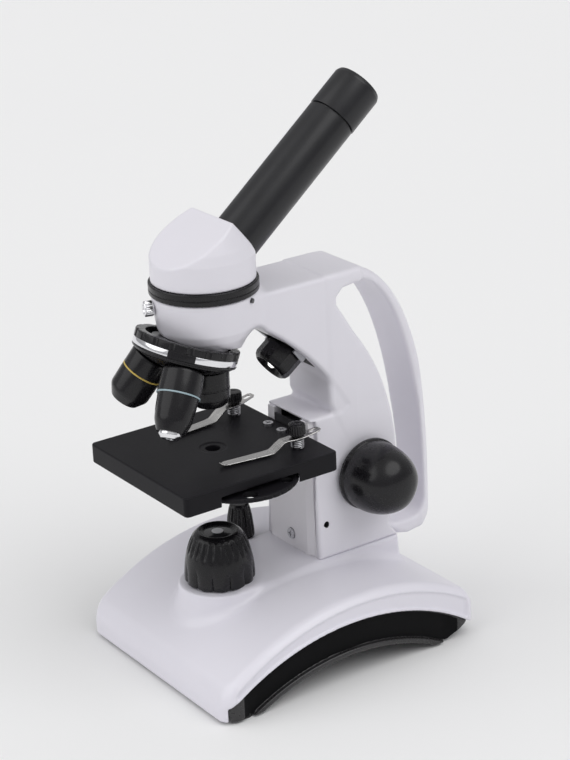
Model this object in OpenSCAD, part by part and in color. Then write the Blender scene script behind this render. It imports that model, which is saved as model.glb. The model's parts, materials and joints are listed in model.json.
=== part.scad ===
// Student compound microscope with a tilting-free column, a sliding stage and a turning head.
// Millimetres. X is across the stand, Y runs from the stage to the handle, Z is up.
// Y is measured from the optical axis inside each module; the whole part is then centred.

/* [Base] */
// Width of the base across the stand
base_w = 132; // [128:0.5:136]
// Front edge of the base, ahead of the optical axis
base_front = 42; // [40:0.5:44]
// Rear edge of the base, behind the optical axis
base_rear = 117; // [114:0.5:118]
// Height of the crown of the arched base
base_h = 45.5; // [44:0.5:47]
// Radius of the arched top
arch_r = 134; // [130:1:138]
// Wall thickness of the base shell
shell_t = 3; // [2.5:0.1:3.4]
// Height of the plinth under the column
plinth_h = 48.5; // [47.5:0.1:49]
// Height of the round boss under the lower lamp
boss_h = 44.5; // [43.5:0.1:45.5]

/* [Arm] */
// Front face of the column, behind the optical axis
column_y = 46.7; // [46.5:0.1:47.5]
// Half width of the column at its foot
column_foot_half = 24.6; // [24:0.1:25.5]
// Half width of the upper arm
arm_half = 19; // [18.5:0.1:20]
// Height of the ledge above the stage slot
ledge_h = 125; // [124.5:0.1:126]
// Height of the flat top of the arm
arm_top = 198.8; // [198:0.1:199.5]
// Radius of the collar that carries the head
collar_r = 26; // [25:0.1:26.5]
// Half width of the handle bar
handle_half = 13.5; // [12:0.1:14]

/* [Optics] */
// Height of the point where the tube axis meets the optical axis
apex_z = 206.8; // [206.5:0.1:207.5]
// Slope of the eyepiece tube above the horizontal
tube_tilt = 39.6; // [39:0.1:41]
// Outside radius of the eyepiece tube
tube_r = 12.7; // [12.5:0.1:13]
// Distance from the apex to the top rim of the eyepiece
tube_reach = 126.5; // [124:0.5:128]
// Radius of the standard eyepiece barrel
eyepiece_r = 11.6; // [11.6:0.05:11.7]
// Length of the eyepiece cap
cap_len = 22.8; // [21:0.1:24]
// Radius of the black ring under the head
ring_r = 27.3; // [26.8:0.1:27.8]

/* [Nosepiece] */
// Lean of the nosepiece axis, which is also the splay of each objective
nose_tilt = 20.4; // [20:0.1:21]
// Distance from the apex to the objectives' shoulders
seat_d = 47; // [46.5:0.1:47.5]
// Radius of the turret
turret_r = 26.4; // [26:0.1:27]
// Length of the low power objective
low_len = 19; // [18:0.5:21]
// Length of the medium power objective
mid_len = 27.5; // [26:0.5:29]
// Length of the high power objective
high_len = 34; // [32:0.5:34]

/* [Stage] */
// Half width of the square stage
stage_half = 45; // [44.5:0.5:46]
// Height of the stage's top face
stage_z = 117.5; // [117:0.1:118]
// Depth of the stage's skirt
stage_t = 10.2; // [9.5:0.1:11]
// Radius of the light hole through the stage
stage_hole_r = 3.8; // [3.4:0.1:5]
// Radius of the filter disc
disc_r = 29.2; // [28.5:0.1:29.5]
// Offset of the filter disc's pivot from the optical axis
disc_x = 24; // [23:0.5:25]

/* [Focus] */
// Distance of the focus shaft behind the optical axis
shaft_y = 79; // [78:0.1:80]
// Height of the focus shaft
shaft_z = 89; // [87:0.5:91]
// Radius of the focus shaft
shaft_r = 3; // [3:0.5:4]
// Rolling radius of the pinion
pinion_r = 5; // [5:0.5:5]
// Largest radius of a focus knob
knob_r = 19.3; // [18:0.1:20]
// Length of a focus knob
knob_len = 30; // [28:0.5:31]

/* [Hidden] */

$fn = 64;
gap = 0.3;                      // air between parts that move past each other
fit = 0.05;                     // radial play of a running fit
half_w = base_w / 2;
arch_y = 42;                    // crown of the arched top
arch_z = base_h - arch_r;
skirt_y = 36;                   // crown of the line between shell and plate
skirt_z = 33;
skirt_r = 130;
sole_y = 35.5;                  // crown of the arch under the plate
sole_z = 13.7;
sole_r = 119.7;
sole_h = 1;                     // height of the plate's soles above the floor
edge_r = 6;                     // rounding along the arched edges
corner_r = 9;                   // rounding of the base's corners in plan
handle_rear = 129.9;
mid_y = (handle_rear - stage_half) / 2;
collar_top = 201.2;
ring_z = 201.5;
head_z = 207.3;
ridge_y = 7;                    // ridge of the head's roof
ridge_z = 238;
collar_d = 29;                  // underside of the collar outside the nosepiece
mount_d = 32;                   // face of the casting that carries the nosepiece
crown_d = 30.5;                 // top of the turret's crown, measured down its axis
turret_d = mount_d + 1.5;       // floor of the dish inside the crown
rim_d = 34.3;                   // top of the bright rim
rim_t = 3.4;
dish_r = 21.6;
clip_x = 28.5;
clip_y = 32;
slot_half = 11.5;               // half width of the slot in the front plate
slot_low = 62;
window_low = 91.7;              // lower end of the slot in the front plate
slot_high = 123.6;
column_back = 50.2;             // back of the front plate
cavity_half = 15;
cavity_rear = 92;
slide_half = 10.6;              // half width of the stage bracket's slide
dial_x = -33;
dial_y = 35;
foot_x = 50;
foot_ys = [-27, 94];
cell_r = 7.2;
cell_len = 50;
lamp_axis_y = 36;               // centre of the upper lamp's face
lamp_axis_z = 151.3;
lamp_tilt = 36.3;               // slope of the upper lamp below the horizontal
lamp_r = 10.6;

function arc(cy, cz, r, from, to, n = 12) =
    [for (i = [0:n]) let (a = from + (to - from) * i / n) [cy + r * cos(a), cz + r * sin(a)]];

function curve(p, q, r, s, n = 14) =
    [for (i = [0:n]) let (t = i / n, u = 1 - t)
        u * u * u * p + 3 * u * u * t * q + 3 * u * t * t * r + t * t * t * s];

// Extrudes an outline drawn in Y and Z symmetrically across X.
module across(half) {
    rotate([90, 0, 90]) translate([0, 0, -half]) linear_extrude(2 * half) children();
}

// A solid of revolution about an axis across X through the given centre.
module hoop(cy, cz) {
    translate([0, cy, cz]) rotate([0, 90, 0]) rotate_extrude($fn = 200) children();
}

module round_rect(w, d, r) {
    for (x = [-1, 1]) for (y = [-1, 1]) translate([x * (w / 2 - r), y * (d / 2 - r)]) circle(r);
    square([w - 2 * r, d], center = true);
    square([w, d - 2 * r], center = true);
}

module ring(r_out, r_in, h) {
    difference() {
        cylinder(r = r_out, h = h);
        translate([0, 0, -1]) cylinder(r = r_in, h = h + 2);
    }
}

// Places children in the turret's frame: origin at the apex, +Z up the turret's axis.
module on_turret() {
    translate([0, 0, apex_z]) rotate([-nose_tilt, 0, 0]) children();
}

// Places children on objective axis k: origin at the apex, the objective points down -Z.
module on_objective(k) {
    on_turret() rotate([0, 0, 120 * k]) rotate([nose_tilt, 0, 0]) children();
}

// Places children on the eyepiece tube: origin at the apex, +Z along the tube.
module on_tube() {
    translate([0, 0, apex_z]) rotate([tube_tilt - 90, 0, 0]) children();
}

// Places children on the upper lamp: origin at the centre of its face, +Z back into the arm.
module on_upper_lamp() {
    translate([0, lamp_axis_y, lamp_axis_z]) rotate([lamp_tilt - 90, 0, 0]) children();
}

module centred() {
    translate([0, -mid_y, 0]) children();
}

// ---------------------------------------------------------------- base

module base_outline(inset) {
    front = -base_front + inset;
    rear = base_rear - inset;
    nose = 7 - inset;
    tail = 11 - inset;
    polygon(concat(
        [[front, -2]],
        arc(front + nose, 12, nose, 180, 118, 5),
        [[front + nose + 4, 60], [rear - tail - 4, 60]],
        arc(rear - tail, 17, tail, 40, 0, 5),
        [[rear, -2]]));
}

module base_body(inset) {
    half = half_w - inset;
    r = arch_r - inset;
    soft = edge_r - inset;
    intersection() {
        hoop(arch_y, arch_z) {
            translate([80, soft - half]) square([r - 80, 2 * (half - soft)]);
            translate([80, -half]) square([r - soft - 80, 2 * half]);
            for (x = [-1, 1]) translate([r - soft, x * (half - soft)]) circle(soft);
        }
        across(half_w + 1) base_outline(inset);
        translate([0, (base_rear - base_front) / 2, -3]) linear_extrude(70)
            round_rect(base_w - 2 * inset, base_rear + base_front - 2 * inset, corner_r - inset);
    }
}

module skirt_region(r, low) {
    intersection() {
        translate([skirt_y, skirt_z - skirt_r]) circle(r, $fn = 200);
        translate([-60, low]) square([200, 80]);
    }
}

module sole_region(r) {
    translate([sole_y, sole_z - sole_r]) circle(r, $fn = 200);
}

module spine_outline(inset) {
    polygon([[0, 20], [0, boss_h - inset], [22, boss_h - inset], [column_y, plinth_h - inset],
        [97.5 - inset, plinth_h - inset], [99.5 - inset, 30], [99, 20]]);
}

module spine(inset) {
    intersection() {
        across(40) spine_outline(inset);
        translate([0, 0, 15]) linear_extrude(60)
            polygon([for (x = [-1, 1]) each (x < 0
                ? [[-20.5 + inset, 0], [-column_foot_half + inset, column_y],
                    [-column_foot_half + inset, 99.5]]
                : [[column_foot_half - inset, 99.5], [column_foot_half - inset, column_y],
                    [20.5 - inset, 0]])]);
    }
}

module base_shell() {
    color("whitesmoke") centred() difference() {
        union() {
            base_body(0);
            spine(0);
            translate([0, 0, 28]) cylinder(r1 = 24, r2 = 21.3, h = boss_h - 28);
        }
        difference() {
            base_body(shell_t);
            for (p = foot_ys) for (x = [-1, 1]) translate([x * foot_x, p, 0]) cylinder(r = 5, h = 60);
        }
        spine(shell_t);
        translate([0, 0, 26]) cylinder(r1 = 21.2, r2 = 18.2, h = boss_h - 29.5);
        across(half_w + 5) intersection() {
            skirt_region(skirt_r, -5);
            translate([-base_front + shell_t, -5]) square([base_rear + base_front - 2 * shell_t, 60]);
        }
        across(half_w + 5) translate([-60, -5]) square([60, 6.8]);
        across(half_w + 5) translate([60, -5]) square([70, 13]);
        translate([0, 0, 30]) cylinder(r = 8, h = 30);
        translate([dial_x, dial_y, 30]) cylinder(r = 4, h = 30);
        for (y = [60, 86]) translate([0, y, 30]) cylinder(r = 2.2, h = 30);
        translate([-28, base_rear + 1, 15]) rotate([90, 0, 0]) cylinder(r = 3.5, h = 12);
        translate([-28, base_rear - shell_t, 15]) rotate([90, 0, 0]) cylinder(r = 4.4, h = 9);
        for (p = foot_ys) for (x = [-1, 1]) translate([x * foot_x, p, -1]) cylinder(r = 1.4, h = 22);
    }
}

module base_plate() {
    color("#1b1b1d") centred() difference() {
        union() {
            intersection() {
                across(half_w - 1.5) difference() {
                    intersection() {
                        skirt_region(skirt_r - 0.05, sole_h);
                        polygon([[-38.9, 4], [-35, sole_h - 1], [97, sole_h - 1], [112, 9.5],
                            [113.9, 12],
                            [113.9, 40], [-38.9, 40]]);
                    }
                    sole_region(sole_r);
                }
                translate([0, (base_rear - base_front) / 2, -3]) linear_extrude(70)
                    round_rect(base_w - 3, base_rear + base_front - 3, corner_r - 1.5);
            }
        }
        intersection() {
            across(half_w - 6) difference() {
                translate([-35.5, 3.4]) square([146, 60]);
                sole_region(sole_r + 2.6);
                polygon([[98, 0], [114, 0], [114, 14], [106, 9.6], [98, 5]]);
            }
            translate([0, 37.4, -3]) linear_extrude(70) round_rect(base_w - 12, 145, 5);
        }
        for (x = [-1, 1]) translate([x * (half_w - 1.5), 0, 0]) across(2.4) difference() {
            skirt_region(skirt_r - 1, 0);
            sole_region(sole_r + 3.4);
            translate([-60, -10]) square([33, 60]);
            translate([101, -10]) square([33, 60]);
        }
        translate([0, sole_y, 5]) cube([42, 43, 30], center = true);
        across(24.2) intersection() {
            sole_region(sole_r + 1.7);
            translate([sole_y - 24.2, 0]) square([48.4, 40]);
        }
        for (p = foot_ys) for (x = [-1, 1]) translate([x * foot_x, p, -1]) {
            linear_extrude(2.8) round_rect(25, 8.4, 4);
            cylinder(r = 1.45, h = 12);
            translate([0, 0, 1]) cylinder(r = 3, h = 2.4);
        }
    }
}

module rubber_feet() {
    color("#2a2a2a") centred() for (p = foot_ys) for (x = [-1, 1])
        translate([x * foot_x, p, 0]) difference() {
            linear_extrude(1.8) round_rect(24.6, 8, 3.9);
            translate([0, 0, -1]) cylinder(r = 3, h = 4);
        }
}

module base_screws() {
    color("silver") centred() for (p = foot_ys) for (x = [-1, 1]) translate([x * foot_x, p, 0]) {
        difference() {
            translate([0, 0, 0.9]) cylinder(r = 2.9, h = 1.5);
            translate([0, 0, 0.8]) cube([4, 0.8, 1.2], center = true);
        }
        translate([0, 0, 2.4]) cylinder(r = 1.4, h = 14);
    }
}

module battery_cover() {
    color("#202022") centred() difference() {
        across(24) intersection() {
            difference() {
                sole_region(sole_r + 1.6);
                sole_region(sole_r);
            }
            translate([sole_y - 24, 0]) square([48, 40]);
        }
        for (i = [-2:2]) translate([0, sole_y + 15 + i * 2.4, 10]) cube([16, 0.9, 7], center = true);
    }
}

module battery_tray() {
    color("#303034") centred() difference() {
        union() {
            translate([-29, sole_y - 24.5, 19]) cube([58, 49, 9]);
            for (x = [-1, 1]) translate([x * 25.5 - 2, sole_y - 24.5, 12]) cube([4, 49, 7]);
        }
        for (i = [-1:1]) translate([-cell_len / 2, sole_y + i * 15, 19 + cell_r + 1.5])
            rotate([0, 90, 0]) cylinder(r = cell_r, h = cell_len);
        translate([-27.5, sole_y - 23, 24]) cube([55, 46, 9]);
        across(60) sole_region(sole_r + 2.6);
    }
}

module batteries() {
    color("#7a8f5a") centred() for (i = [-1:1])
        translate([-cell_len / 2, sole_y + i * 15, 19 + cell_r + 1.5])
        rotate([0, 90, 0]) {
            cylinder(r = cell_r, h = cell_len - 1.2);
            translate([0, 0, cell_len - 1.2]) cylinder(r = 2.7, h = 1.2);
        }
}

module circuit_board() {
    color("#1f5c38") centred() {
        difference() {
            translate([-58, 66, 22]) cube([46, 28, 1.6]);
            translate([-foot_x, foot_ys[1], 0]) cylinder(r = 5.4, h = 60);
        }
        difference() {
            for (x = [-54, -16]) for (y = [70, 84]) translate([x, y, 3.4]) cylinder(r = 2.4, h = 18.6);
            across(70) sole_region(sole_r + 2.6);
        }
    }
}

module dimmer_pot() {
    color("#2d4f6f") centred() difference() {
        union() {
            intersection() {
                translate([dial_x - 6, dial_y - 6, 33.8]) cube([12, 12, 10]);
                across(60) translate([arch_y, arch_z]) circle(arch_r - shell_t, $fn = 200);
            }
            translate([dial_x, dial_y, 40]) cylinder(r = 3.6, h = 4.4);
        }
        translate([dial_x, dial_y, 35]) cylinder(r = 3 + fit, h = 20);
    }
}

module power_jack() {
    color("#1b1b1d") centred() translate([-28, base_rear, 15]) rotate([90, 0, 0]) {
        ring(3.5, 2.8, 11);
        translate([0, 0, 9]) cylinder(r = 2.8, h = 2);
        translate([0, 0, 1.5]) cylinder(r = 0.65, h = 8);
        translate([0, 0, shell_t]) ring(4.3, 3.5, 8);
    }
}

// ---------------------------------------------------------------- lower lamp

module lamp_profile() {
    polygon([[0, 0], [18.2, 0], [18.3, 3], [18.15, 6], [17.8, 10], [17, 14.5], [15.9, 18.7],
        [14.7, 22], [13.4, 24.7], [11.8, 26.5], [10.4, 27.4], [9.6, 27.4], [8.8, 26], [0, 26]]);
}

module lamp_housing() {
    color("#19191b") centred() translate([0, 0, boss_h]) difference() {
        rotate_extrude() lamp_profile();
        translate([0, 0, -1]) cylinder(r = 15, h = 14);
        translate([0, 0, 12]) cylinder(r1 = 13, r2 = 8, h = 11);
        translate([0, 0, 20]) cylinder(r = 7.5, h = 8);
        for (i = [0:11]) rotate([0, 0, i * 30]) translate([18.6, 0, -1])
            cylinder(r = 1.3, h = 7.5, $fn = 16);
        for (i = [0:23]) rotate([0, 0, i * 15]) translate([16.7, 0, 16.8])
            rotate([0, -22, 0]) translate([0, 0, 0]) cylinder(r = 0.8, h = 8, $fn = 16);
    }
}

module lamp_lens() {
    color("#dfe9f2") centred() translate([0, 0, boss_h + 23]) intersection() {
        cylinder(r = 7.5, h = 5);
        translate([0, 0, -8.4]) sphere(r = 12, $fn = 80);
    }
}

module lamp_board() {
    color("#d8d8d0") centred() {
        translate([0, 0, boss_h]) ring(14.8, 7, 1.6);
        translate([0, 0, boss_h + 1.6]) ring(9, 4, 0.2);
        translate([0, 0, boss_h + 0.2]) cylinder(r = 7, h = 1.4);
        translate([0, 0, boss_h + 1.6]) cylinder(r = 2.5, h = 3.2);
    }
}

// ---------------------------------------------------------------- arm

module arm_outline() {
    polygon(concat(
        [[column_y, plinth_h], [column_y, ledge_h], [67.5, ledge_h]],
        arc(-56.4, 56.6, 145.8, 29.3, 57, 14),
        arc(13, 172, 12.2, 42, 155, 8),
        [[-4, 178], [-4, arm_top], [82, arm_top], [82, 186], [66.2, 186]],
        arc(-4.4, 99, 105.2, 40, -24, 22),
        [[97.5, plinth_h]]));
}

module handle_outer() {
    polygon(concat(
        [[70, 198.8]],
        [for (p = [14:-1:0]) curve([129.9, 62], [129.9, 126.5], [117.4, 186.4], [82, 198.8])[p]],
        arc(119.4, 51.5, 10.5, 0, -75, 6),
        [[112, 40.6], [105, 42.5], [96, 49], [90, 60], [60, 130], [60, 198.8]]));
}

module handle_window() {
    polygon(concat(
        [for (p = [0:14]) curve([123.9, 62], [123.9, 114.1], [109.8, 194.2], [77, 191.6])[p]],
        [[70, 190.6], [66.6, 187], [66.2, 182.6]],
        arc(-4.4, 99, 105.2, 38, -21, 20),
        [[96.5, 55.5], [99.5, 51.8], [104, 50], [112, 49.4]],
        arc(114.9, 58.4, 9, -80, 0, 6)));
}

module front_taper() {
    rotate([90, 0, 0]) translate([0, 0, -150]) linear_extrude(170) polygon([
        [-column_foot_half, plinth_h - 1], [column_foot_half, plinth_h - 1], [arm_half, ledge_h],
        [arm_half, arm_top + 1], [-arm_half, arm_top + 1], [-arm_half, ledge_h]]);
}

module plan_taper() {
    linear_extrude(210) polygon([[-arm_half, 55], [arm_half, 55], [arm_half, 76],
        [handle_half + 1.4, 98], [handle_half, 122], [handle_half - 3.5, handle_rear],
        [3.5 - handle_half, handle_rear], [-handle_half, 122], [-handle_half - 1.4, 98],
            [-arm_half, 76]]);
}

module collar() {
    difference() {
        rotate_extrude($fn = 120) polygon([[0, 165], [14, 165], [17, 171], [20, 176.4], [22.6, 180],
            [24.2, 184], [25, 190], [collar_r, 198], [collar_r + 0.3, collar_top], [0, collar_top]]);
        on_turret() translate([0, 0, -mount_d - 60]) cylinder(r = 80, h = 60);
        on_turret() translate([0, 0, -collar_d - 60]) ring(80, dish_r - 1.3, 60, $fn = 96);
    }
}

module arm_cavity() {
    translate([-cavity_half, column_y - 1, slot_low - 4])
        cube([2 * cavity_half, cavity_rear - column_y + 1, 57]);
    translate([-slot_half, column_y - 1, slot_low]) cube([2 * slot_half, 12, slot_high - slot_low]);
    translate([-20.4, column_y - 1, plinth_h - 1])
        cube([40.8, 1 + column_back - column_y, slot_high - plinth_h + 1]);
}

module arm_casting() {
    color("whitesmoke") centred() difference() {
        union() {
            intersection() {
                union() {
                    across(26) arm_outline();
                }
                front_taper();
            }
            intersection() {
                across(26) difference() {
                    handle_outer();
                    handle_window();
                }
                plan_taper();
            }
            collar();
        }
        across(30) handle_window();
        translate([0, 0, collar_top - 8.7]) cylinder(r = 22, h = 12);
        light_path(8);
        arm_cavity();
        translate([0, shaft_y, shaft_z]) rotate([0, 90, 0]) translate([0, 0, -40])
            cylinder(r = 6, h = 80);
        for (y = [60, 86]) translate([0, y, 40]) cylinder(r = 1.9, h = 16.5);
        translate([0, column_y + 8, 56]) rotate([90, 0, 0]) cylinder(r = 1.5, h = 12);
        on_turret() translate([0, 0, -mount_d - 1]) cylinder(r = 2, h = 5);
        lock_axis() translate([0, 0, 20]) cylinder(r = 1.5 + fit, h = 12);
        stop_axis() translate([0, 0, 20]) cylinder(r = 1.2, h = 12);
        on_upper_lamp() translate([0, 0, 8]) cylinder(r = lamp_r + 1.3, h = 13.4);
        on_upper_lamp() translate([-12.9, -4.2, 8]) cube([25.8, 8.4, 12.4]);
        on_upper_lamp() translate([0, 0, 8]) cylinder(r = 4, h = 16);
        translate([arm_half - 1.5, 52, 67.1]) rotate([0, 90, 0]) cylinder(r = 1.5, h = 12);
    }
}

module front_plate() {
    color("#e4e2e8") centred() difference() {
        intersection() {
            translate([0, 0, plinth_h]) linear_extrude(slot_high - plinth_h - 0.1)
                polygon([[-18.4, column_y - 1], [13.9, column_y - 1], [18.4, column_y + 0.4],
                    [20.2, column_y + 0.4], [20.2, column_back], [-20.2, column_back],
                        [-20.2, column_y - 0.2]]);
            rotate([90, 0, 0]) translate([0, 0, -60]) linear_extrude(30) polygon([
                [-20.3, plinth_h - 1], [20.3, plinth_h - 1], [arm_half - 2.1, ledge_h],
                    [2.1 - arm_half, ledge_h]]);
        }
        translate([-slot_half, column_y - 3, window_low]) cube([2 * slot_half, 12, 80]);
        translate([0, column_y + 6, 56]) rotate([90, 0, 0]) cylinder(r = 1.6, h = 12);
        translate([0, column_y, 56]) rotate([90, 0, 0]) cylinder(r = 3.1, h = 4);
    }
}

module front_plate_screw() {
    color("#8d8d92") centred() translate([0, column_y, 56]) rotate([90, 0, 0]) {
        difference() {
            cylinder(r = 2.9, h = 1.9);
            for (a = [0, 90]) rotate([0, 0, a]) translate([0, 0, 1.9])
                cube([3.6, 0.7, 1.4], center = true);
        }
        translate([0, 0, -7.9]) cylinder(r = 1.5, h = 7.9);
    }
}

module guide_ways() {
    color("silver") centred() for (x = [-1, 1]) translate([x * (cavity_half - 1.6), 0, 0])
        translate([-1.6, column_back, slot_low - 2]) cube([3.2, 9.5, 53]);
}

module focus_bushes() {
    color("#b59a4a") centred() for (x = [-1, 1]) translate([0, shaft_y, shaft_z]) rotate([0, x * 90, 0])
        translate([0, 0, 15.2]) ring(6, shaft_r + fit, 6.6);
}

module arm_bolts() {
    color("silver") centred() for (y = [60, 86]) translate([0, y, 0]) {
        translate([0, 0, plinth_h - shell_t - 3.6]) cylinder(r = 3.8, h = 3.6);
        translate([0, 0, plinth_h - shell_t]) cylinder(r = 1.9, h = 11);
    }
}

module light_path(r) {
    translate([0, 0, 150]) cylinder(r = r, h = 60);
}

module nosepiece_mount() {
    color("#161617") centred() difference() {
        on_turret() {
            translate([0, 0, -mount_d - 1.2]) cylinder(r = 18, h = 1.2);
            translate([0, 0, -turret_d - 2.8]) cylinder(r = 4, h = 3.7);
            translate([0, 0, -turret_d - 4.6]) cylinder(r = 6.2, h = 2.1);
            translate([0, 0, -mount_d]) cylinder(r = 2, h = 4);
        }
        light_path(6);
        on_turret() translate([-2.4, -16.4, -mount_d - 3]) cube([4.8, 3.2, 3]);
    }
}

module click_spring() {
    color("silver") centred() on_turret() translate([-2.4, -16.4, -mount_d - 1.2])
        cube([4.8, 3.2, 1.2]);
}

// The lock screw points out of the collar at the front left.
module lock_axis() {
    translate([0, 0, 195.5]) rotate([0, 0, -17.2]) rotate([90, 0, 0]) children();
}

module stop_axis() {
    translate([0, 0, 198.6]) rotate([0, 0, 118.5]) rotate([90, 0, 0]) children();
}

module ring_stop_screw() {
    color("#222224") centred() stop_axis() translate([0, 0, 22.6]) cylinder(r = 1.2, h = 4.4);
}

module lamp_bracket() {
    color("#a9a9ae") centred() on_upper_lamp() for (x = [-1, 1])
        translate([x * 12.25 - 0.65, -4.2, 11.4]) difference() {
            cube([1.3, 8.4, 9]);
            translate([-1, 4.2, 5.1]) rotate([0, 90, 0]) cylinder(r = 1.5 + fit, h = 4);
        }
}

// ---------------------------------------------------------------- head

module head_solid(inset) {
    r = collar_r - inset;
    difference() {
        translate([0, 0, head_z]) rotate_extrude($fn = 120)
            polygon([[0, 0], [r, 0], [r, 13], [r - 1.2, 18], [r - 7.6, 33], [0, 33]]);
        translate([0, ridge_y, ridge_z - inset]) rotate([31, 0, 0]) translate([-50, -80, 0])
            cube([100, 80, 60]);
        on_tube() translate([-50, -60, roof_d - inset]) cube([100, 120, 60]);
    }
}

roof_d = ridge_y * cos(tube_tilt) + (ridge_z - apex_z) * sin(tube_tilt);

module head_housing() {
    color("whitesmoke") centred() difference() {
        union() {
            head_solid(0);
            intersection() {
                on_tube() translate([0, 0, roof_d - 14]) cylinder(r = tube_r + 0.6, h = 14);
                translate([-60, 0, head_z]) cube([120, 60, 60]);
            }
        }
        difference() {
            head_solid(2.4);
            on_tube() translate([0, 0, 14]) cylinder(r = tube_r + 2.4, h = 60);
        }
        on_tube() translate([0, 0, roof_d - 9]) cylinder(r = tube_r, h = 40);
        on_tube() translate([0, 0, 6]) cylinder(r = tube_r - 2.7, h = 40);
        translate([0, 0, head_z - 1]) cylinder(r = collar_r - 2.4, h = 2);
    }
}

module head_ring() {
    color("#141415") centred() translate([0, 0, ring_z]) difference() {
        rotate_extrude($fn = 120) polygon([[21.5, 0], [ring_r - 0.5, 0], [ring_r, 0.6],
            [ring_r, head_z - ring_z - 0.6], [ring_r - 0.5, head_z - ring_z], [21.5, head_z - ring_z]]);
    }
}

module head_flange() {
    color("silver") centred() translate([0, 0, collar_top - 8.4]) rotate_extrude($fn = 120)
        polygon([[15, 0], [22 - fit, 0], [22 - fit, 0.5], [20.3, 1], [20.3, 6.2], [22 - fit, 6.8],
            [22 - fit, 8.2], [21.5, 8.6], [21.5, 14.2], [15, 14.2], [15, 8.4], [6, 8.4], [6, 7],
                [15, 7]]);
}

module prism() {
    color("#cfe3ea") centred() translate([0, 0, apex_z]) difference() {
        translate([-9, -9, collar_top - apex_z]) cube([18, 18, 9 + apex_z - collar_top]);
        rotate([20, 0, 0]) translate([-20, -40, 1.5]) cube([40, 60, 30]);
    }
}

module eyepiece_tube() {
    color("#1a1a1c") centred() on_tube() difference() {
        union() {
            translate([0, 0, roof_d - 9]) cylinder(r = tube_r, h = tube_reach - cap_len - roof_d + 8.6);
        }
        cylinder(r = eyepiece_r - 1.2, h = 80);
        translate([0, 0, 70]) cylinder(r = eyepiece_r + fit, h = 60);
    }
}

module eyepiece_barrel() {
    color("#3a3a3e") centred() on_tube() translate([0, 0, tube_reach - cap_len - 26])
        ring(eyepiece_r, eyepiece_r - 1.4, 30);
}

module eyepiece_cap() {
    color("#131314") centred() on_tube() translate([0, 0, tube_reach - cap_len]) difference() {
        rotate_extrude($fn = 96) polygon([[0, 0], [tube_r + 0.3, 0], [tube_r + 0.3, 20.5],
            [tube_r - 0.6, cap_len - 0.5], [tube_r - 1.5, cap_len], [9, cap_len],
                [6.5, cap_len - 2.5], [0, cap_len - 2.5]]);
        translate([0, 0, -1]) cylinder(r = eyepiece_r, h = 5);
        translate([0, 0, 3]) cylinder(r = 10, h = 12);
        translate([0, 0, 10]) cylinder(r = 5.5, h = 20);
    }
}

module eye_lens() {
    color("#cfe3ea") centred() on_tube() translate([0, 0, tube_reach - 6]) intersection() {
        cylinder(r = 5.5, h = 3);
        translate([0, 0, -8.6]) sphere(r = 11, $fn = 72);
    }
}

module field_lens() {
    color("#cfe3ea") centred() on_tube() translate([0, 0, tube_reach - cap_len - 24])
        cylinder(r = eyepiece_r - 1.4, h = 2.5);
}

module head_lock_screw() {
    color("silver") centred() lock_axis() {
        translate([0, 0, 22.25]) cylinder(r = 1.5, h = 3.9);
        translate([0, 0, 26.1]) difference() {
            cylinder(r = 3.9, h = 4.8);
            for (i = [0:11]) rotate([0, 0, i * 30]) translate([4.3, 0, -1])
                cylinder(r = 0.7, h = 7, $fn = 16);
            translate([0, 0, 4]) cylinder(r = 2.2, h = 2);
        }
    }
}

// ---------------------------------------------------------------- nosepiece

module objective_sockets(r) {
    for (k = [0:2]) rotate([0, 0, 120 * k]) rotate([nose_tilt, 0, 0])
        translate([0, 0, -seat_d - 2]) cylinder(r = r, h = 22);
}

module turret_shell() {
    color("#19191b") centred() on_turret() difference() {
        union() {
            intersection() {
                translate([0, 0, -60]) cylinder(r = turret_r - 1.6, h = 59 - turret_d, $fn = 120);
                sphere(r = seat_d, $fn = 120);
            }
            translate([0, 0, -39]) cylinder(r = turret_r, h = 39 - crown_d, $fn = 120);
        }
        translate([0, 0, -turret_d]) cylinder(r = dish_r, h = 10, $fn = 96);
        translate([0, 0, -rim_d - rim_t]) ring(turret_r + 1, turret_r - 0.8, rim_t, $fn = 120);
        intersection() {
            sphere(r = seat_d - 3.2, $fn = 120);
            translate([0, 0, -60]) cylinder(r = turret_r - 3.4, h = 57.8 - turret_d, $fn = 120);
        }
        translate([0, 0, -turret_d - 20]) cylinder(r = 4 + fit, h = 40);
        translate([0, 0, -60]) cylinder(r = 7, h = 17);
        objective_sockets(6);
        for (i = [0:17]) rotate([0, 0, i * 20 + 10]) translate([turret_r + 0.9, 0, -rim_d])
            cylinder(r = 1.7, h = 10, $fn = 16);
    }
}

module turret_rim() {
    color("silver") centred() on_turret() translate([0, 0, -rim_d - rim_t])
        ring(turret_r + 0.3, turret_r - 0.8, rim_t, $fn = 120);
}

module objective(profile) {
    rotate_extrude() translate([0, -seat_d]) polygon(profile);
}

module objective_low() {
    color("#1c1c1e") centred() on_objective(0) difference() {
        objective([[0, 4], [6, 4], [6, 0], [10.2, 0], [10.3, -1], [10.3, -14.5], [8.9, 1.2 - low_len],
            [7.4, -low_len], [0, -low_len]]);
        translate([0, 0, -seat_d - 30]) cylinder(r = 4.4, h = 40);
    }
}

module objective_mid() {
    color("#1c1c1e") centred() on_objective(1) difference() {
        objective([[0, 4], [6, 4], [6, 0], [10.3, 0], [10.6, -1], [10.6, -9.4], [10.3, -9.5],
            [10.3, -10.3], [10.6, -10.4], [10.5, 5.5 - mid_len], [7.2, 0.4 - mid_len],
            [6.6, -mid_len], [0, -mid_len]]);
        translate([0, 0, -seat_d - 40]) cylinder(r = 4, h = 50);
    }
}

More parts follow.
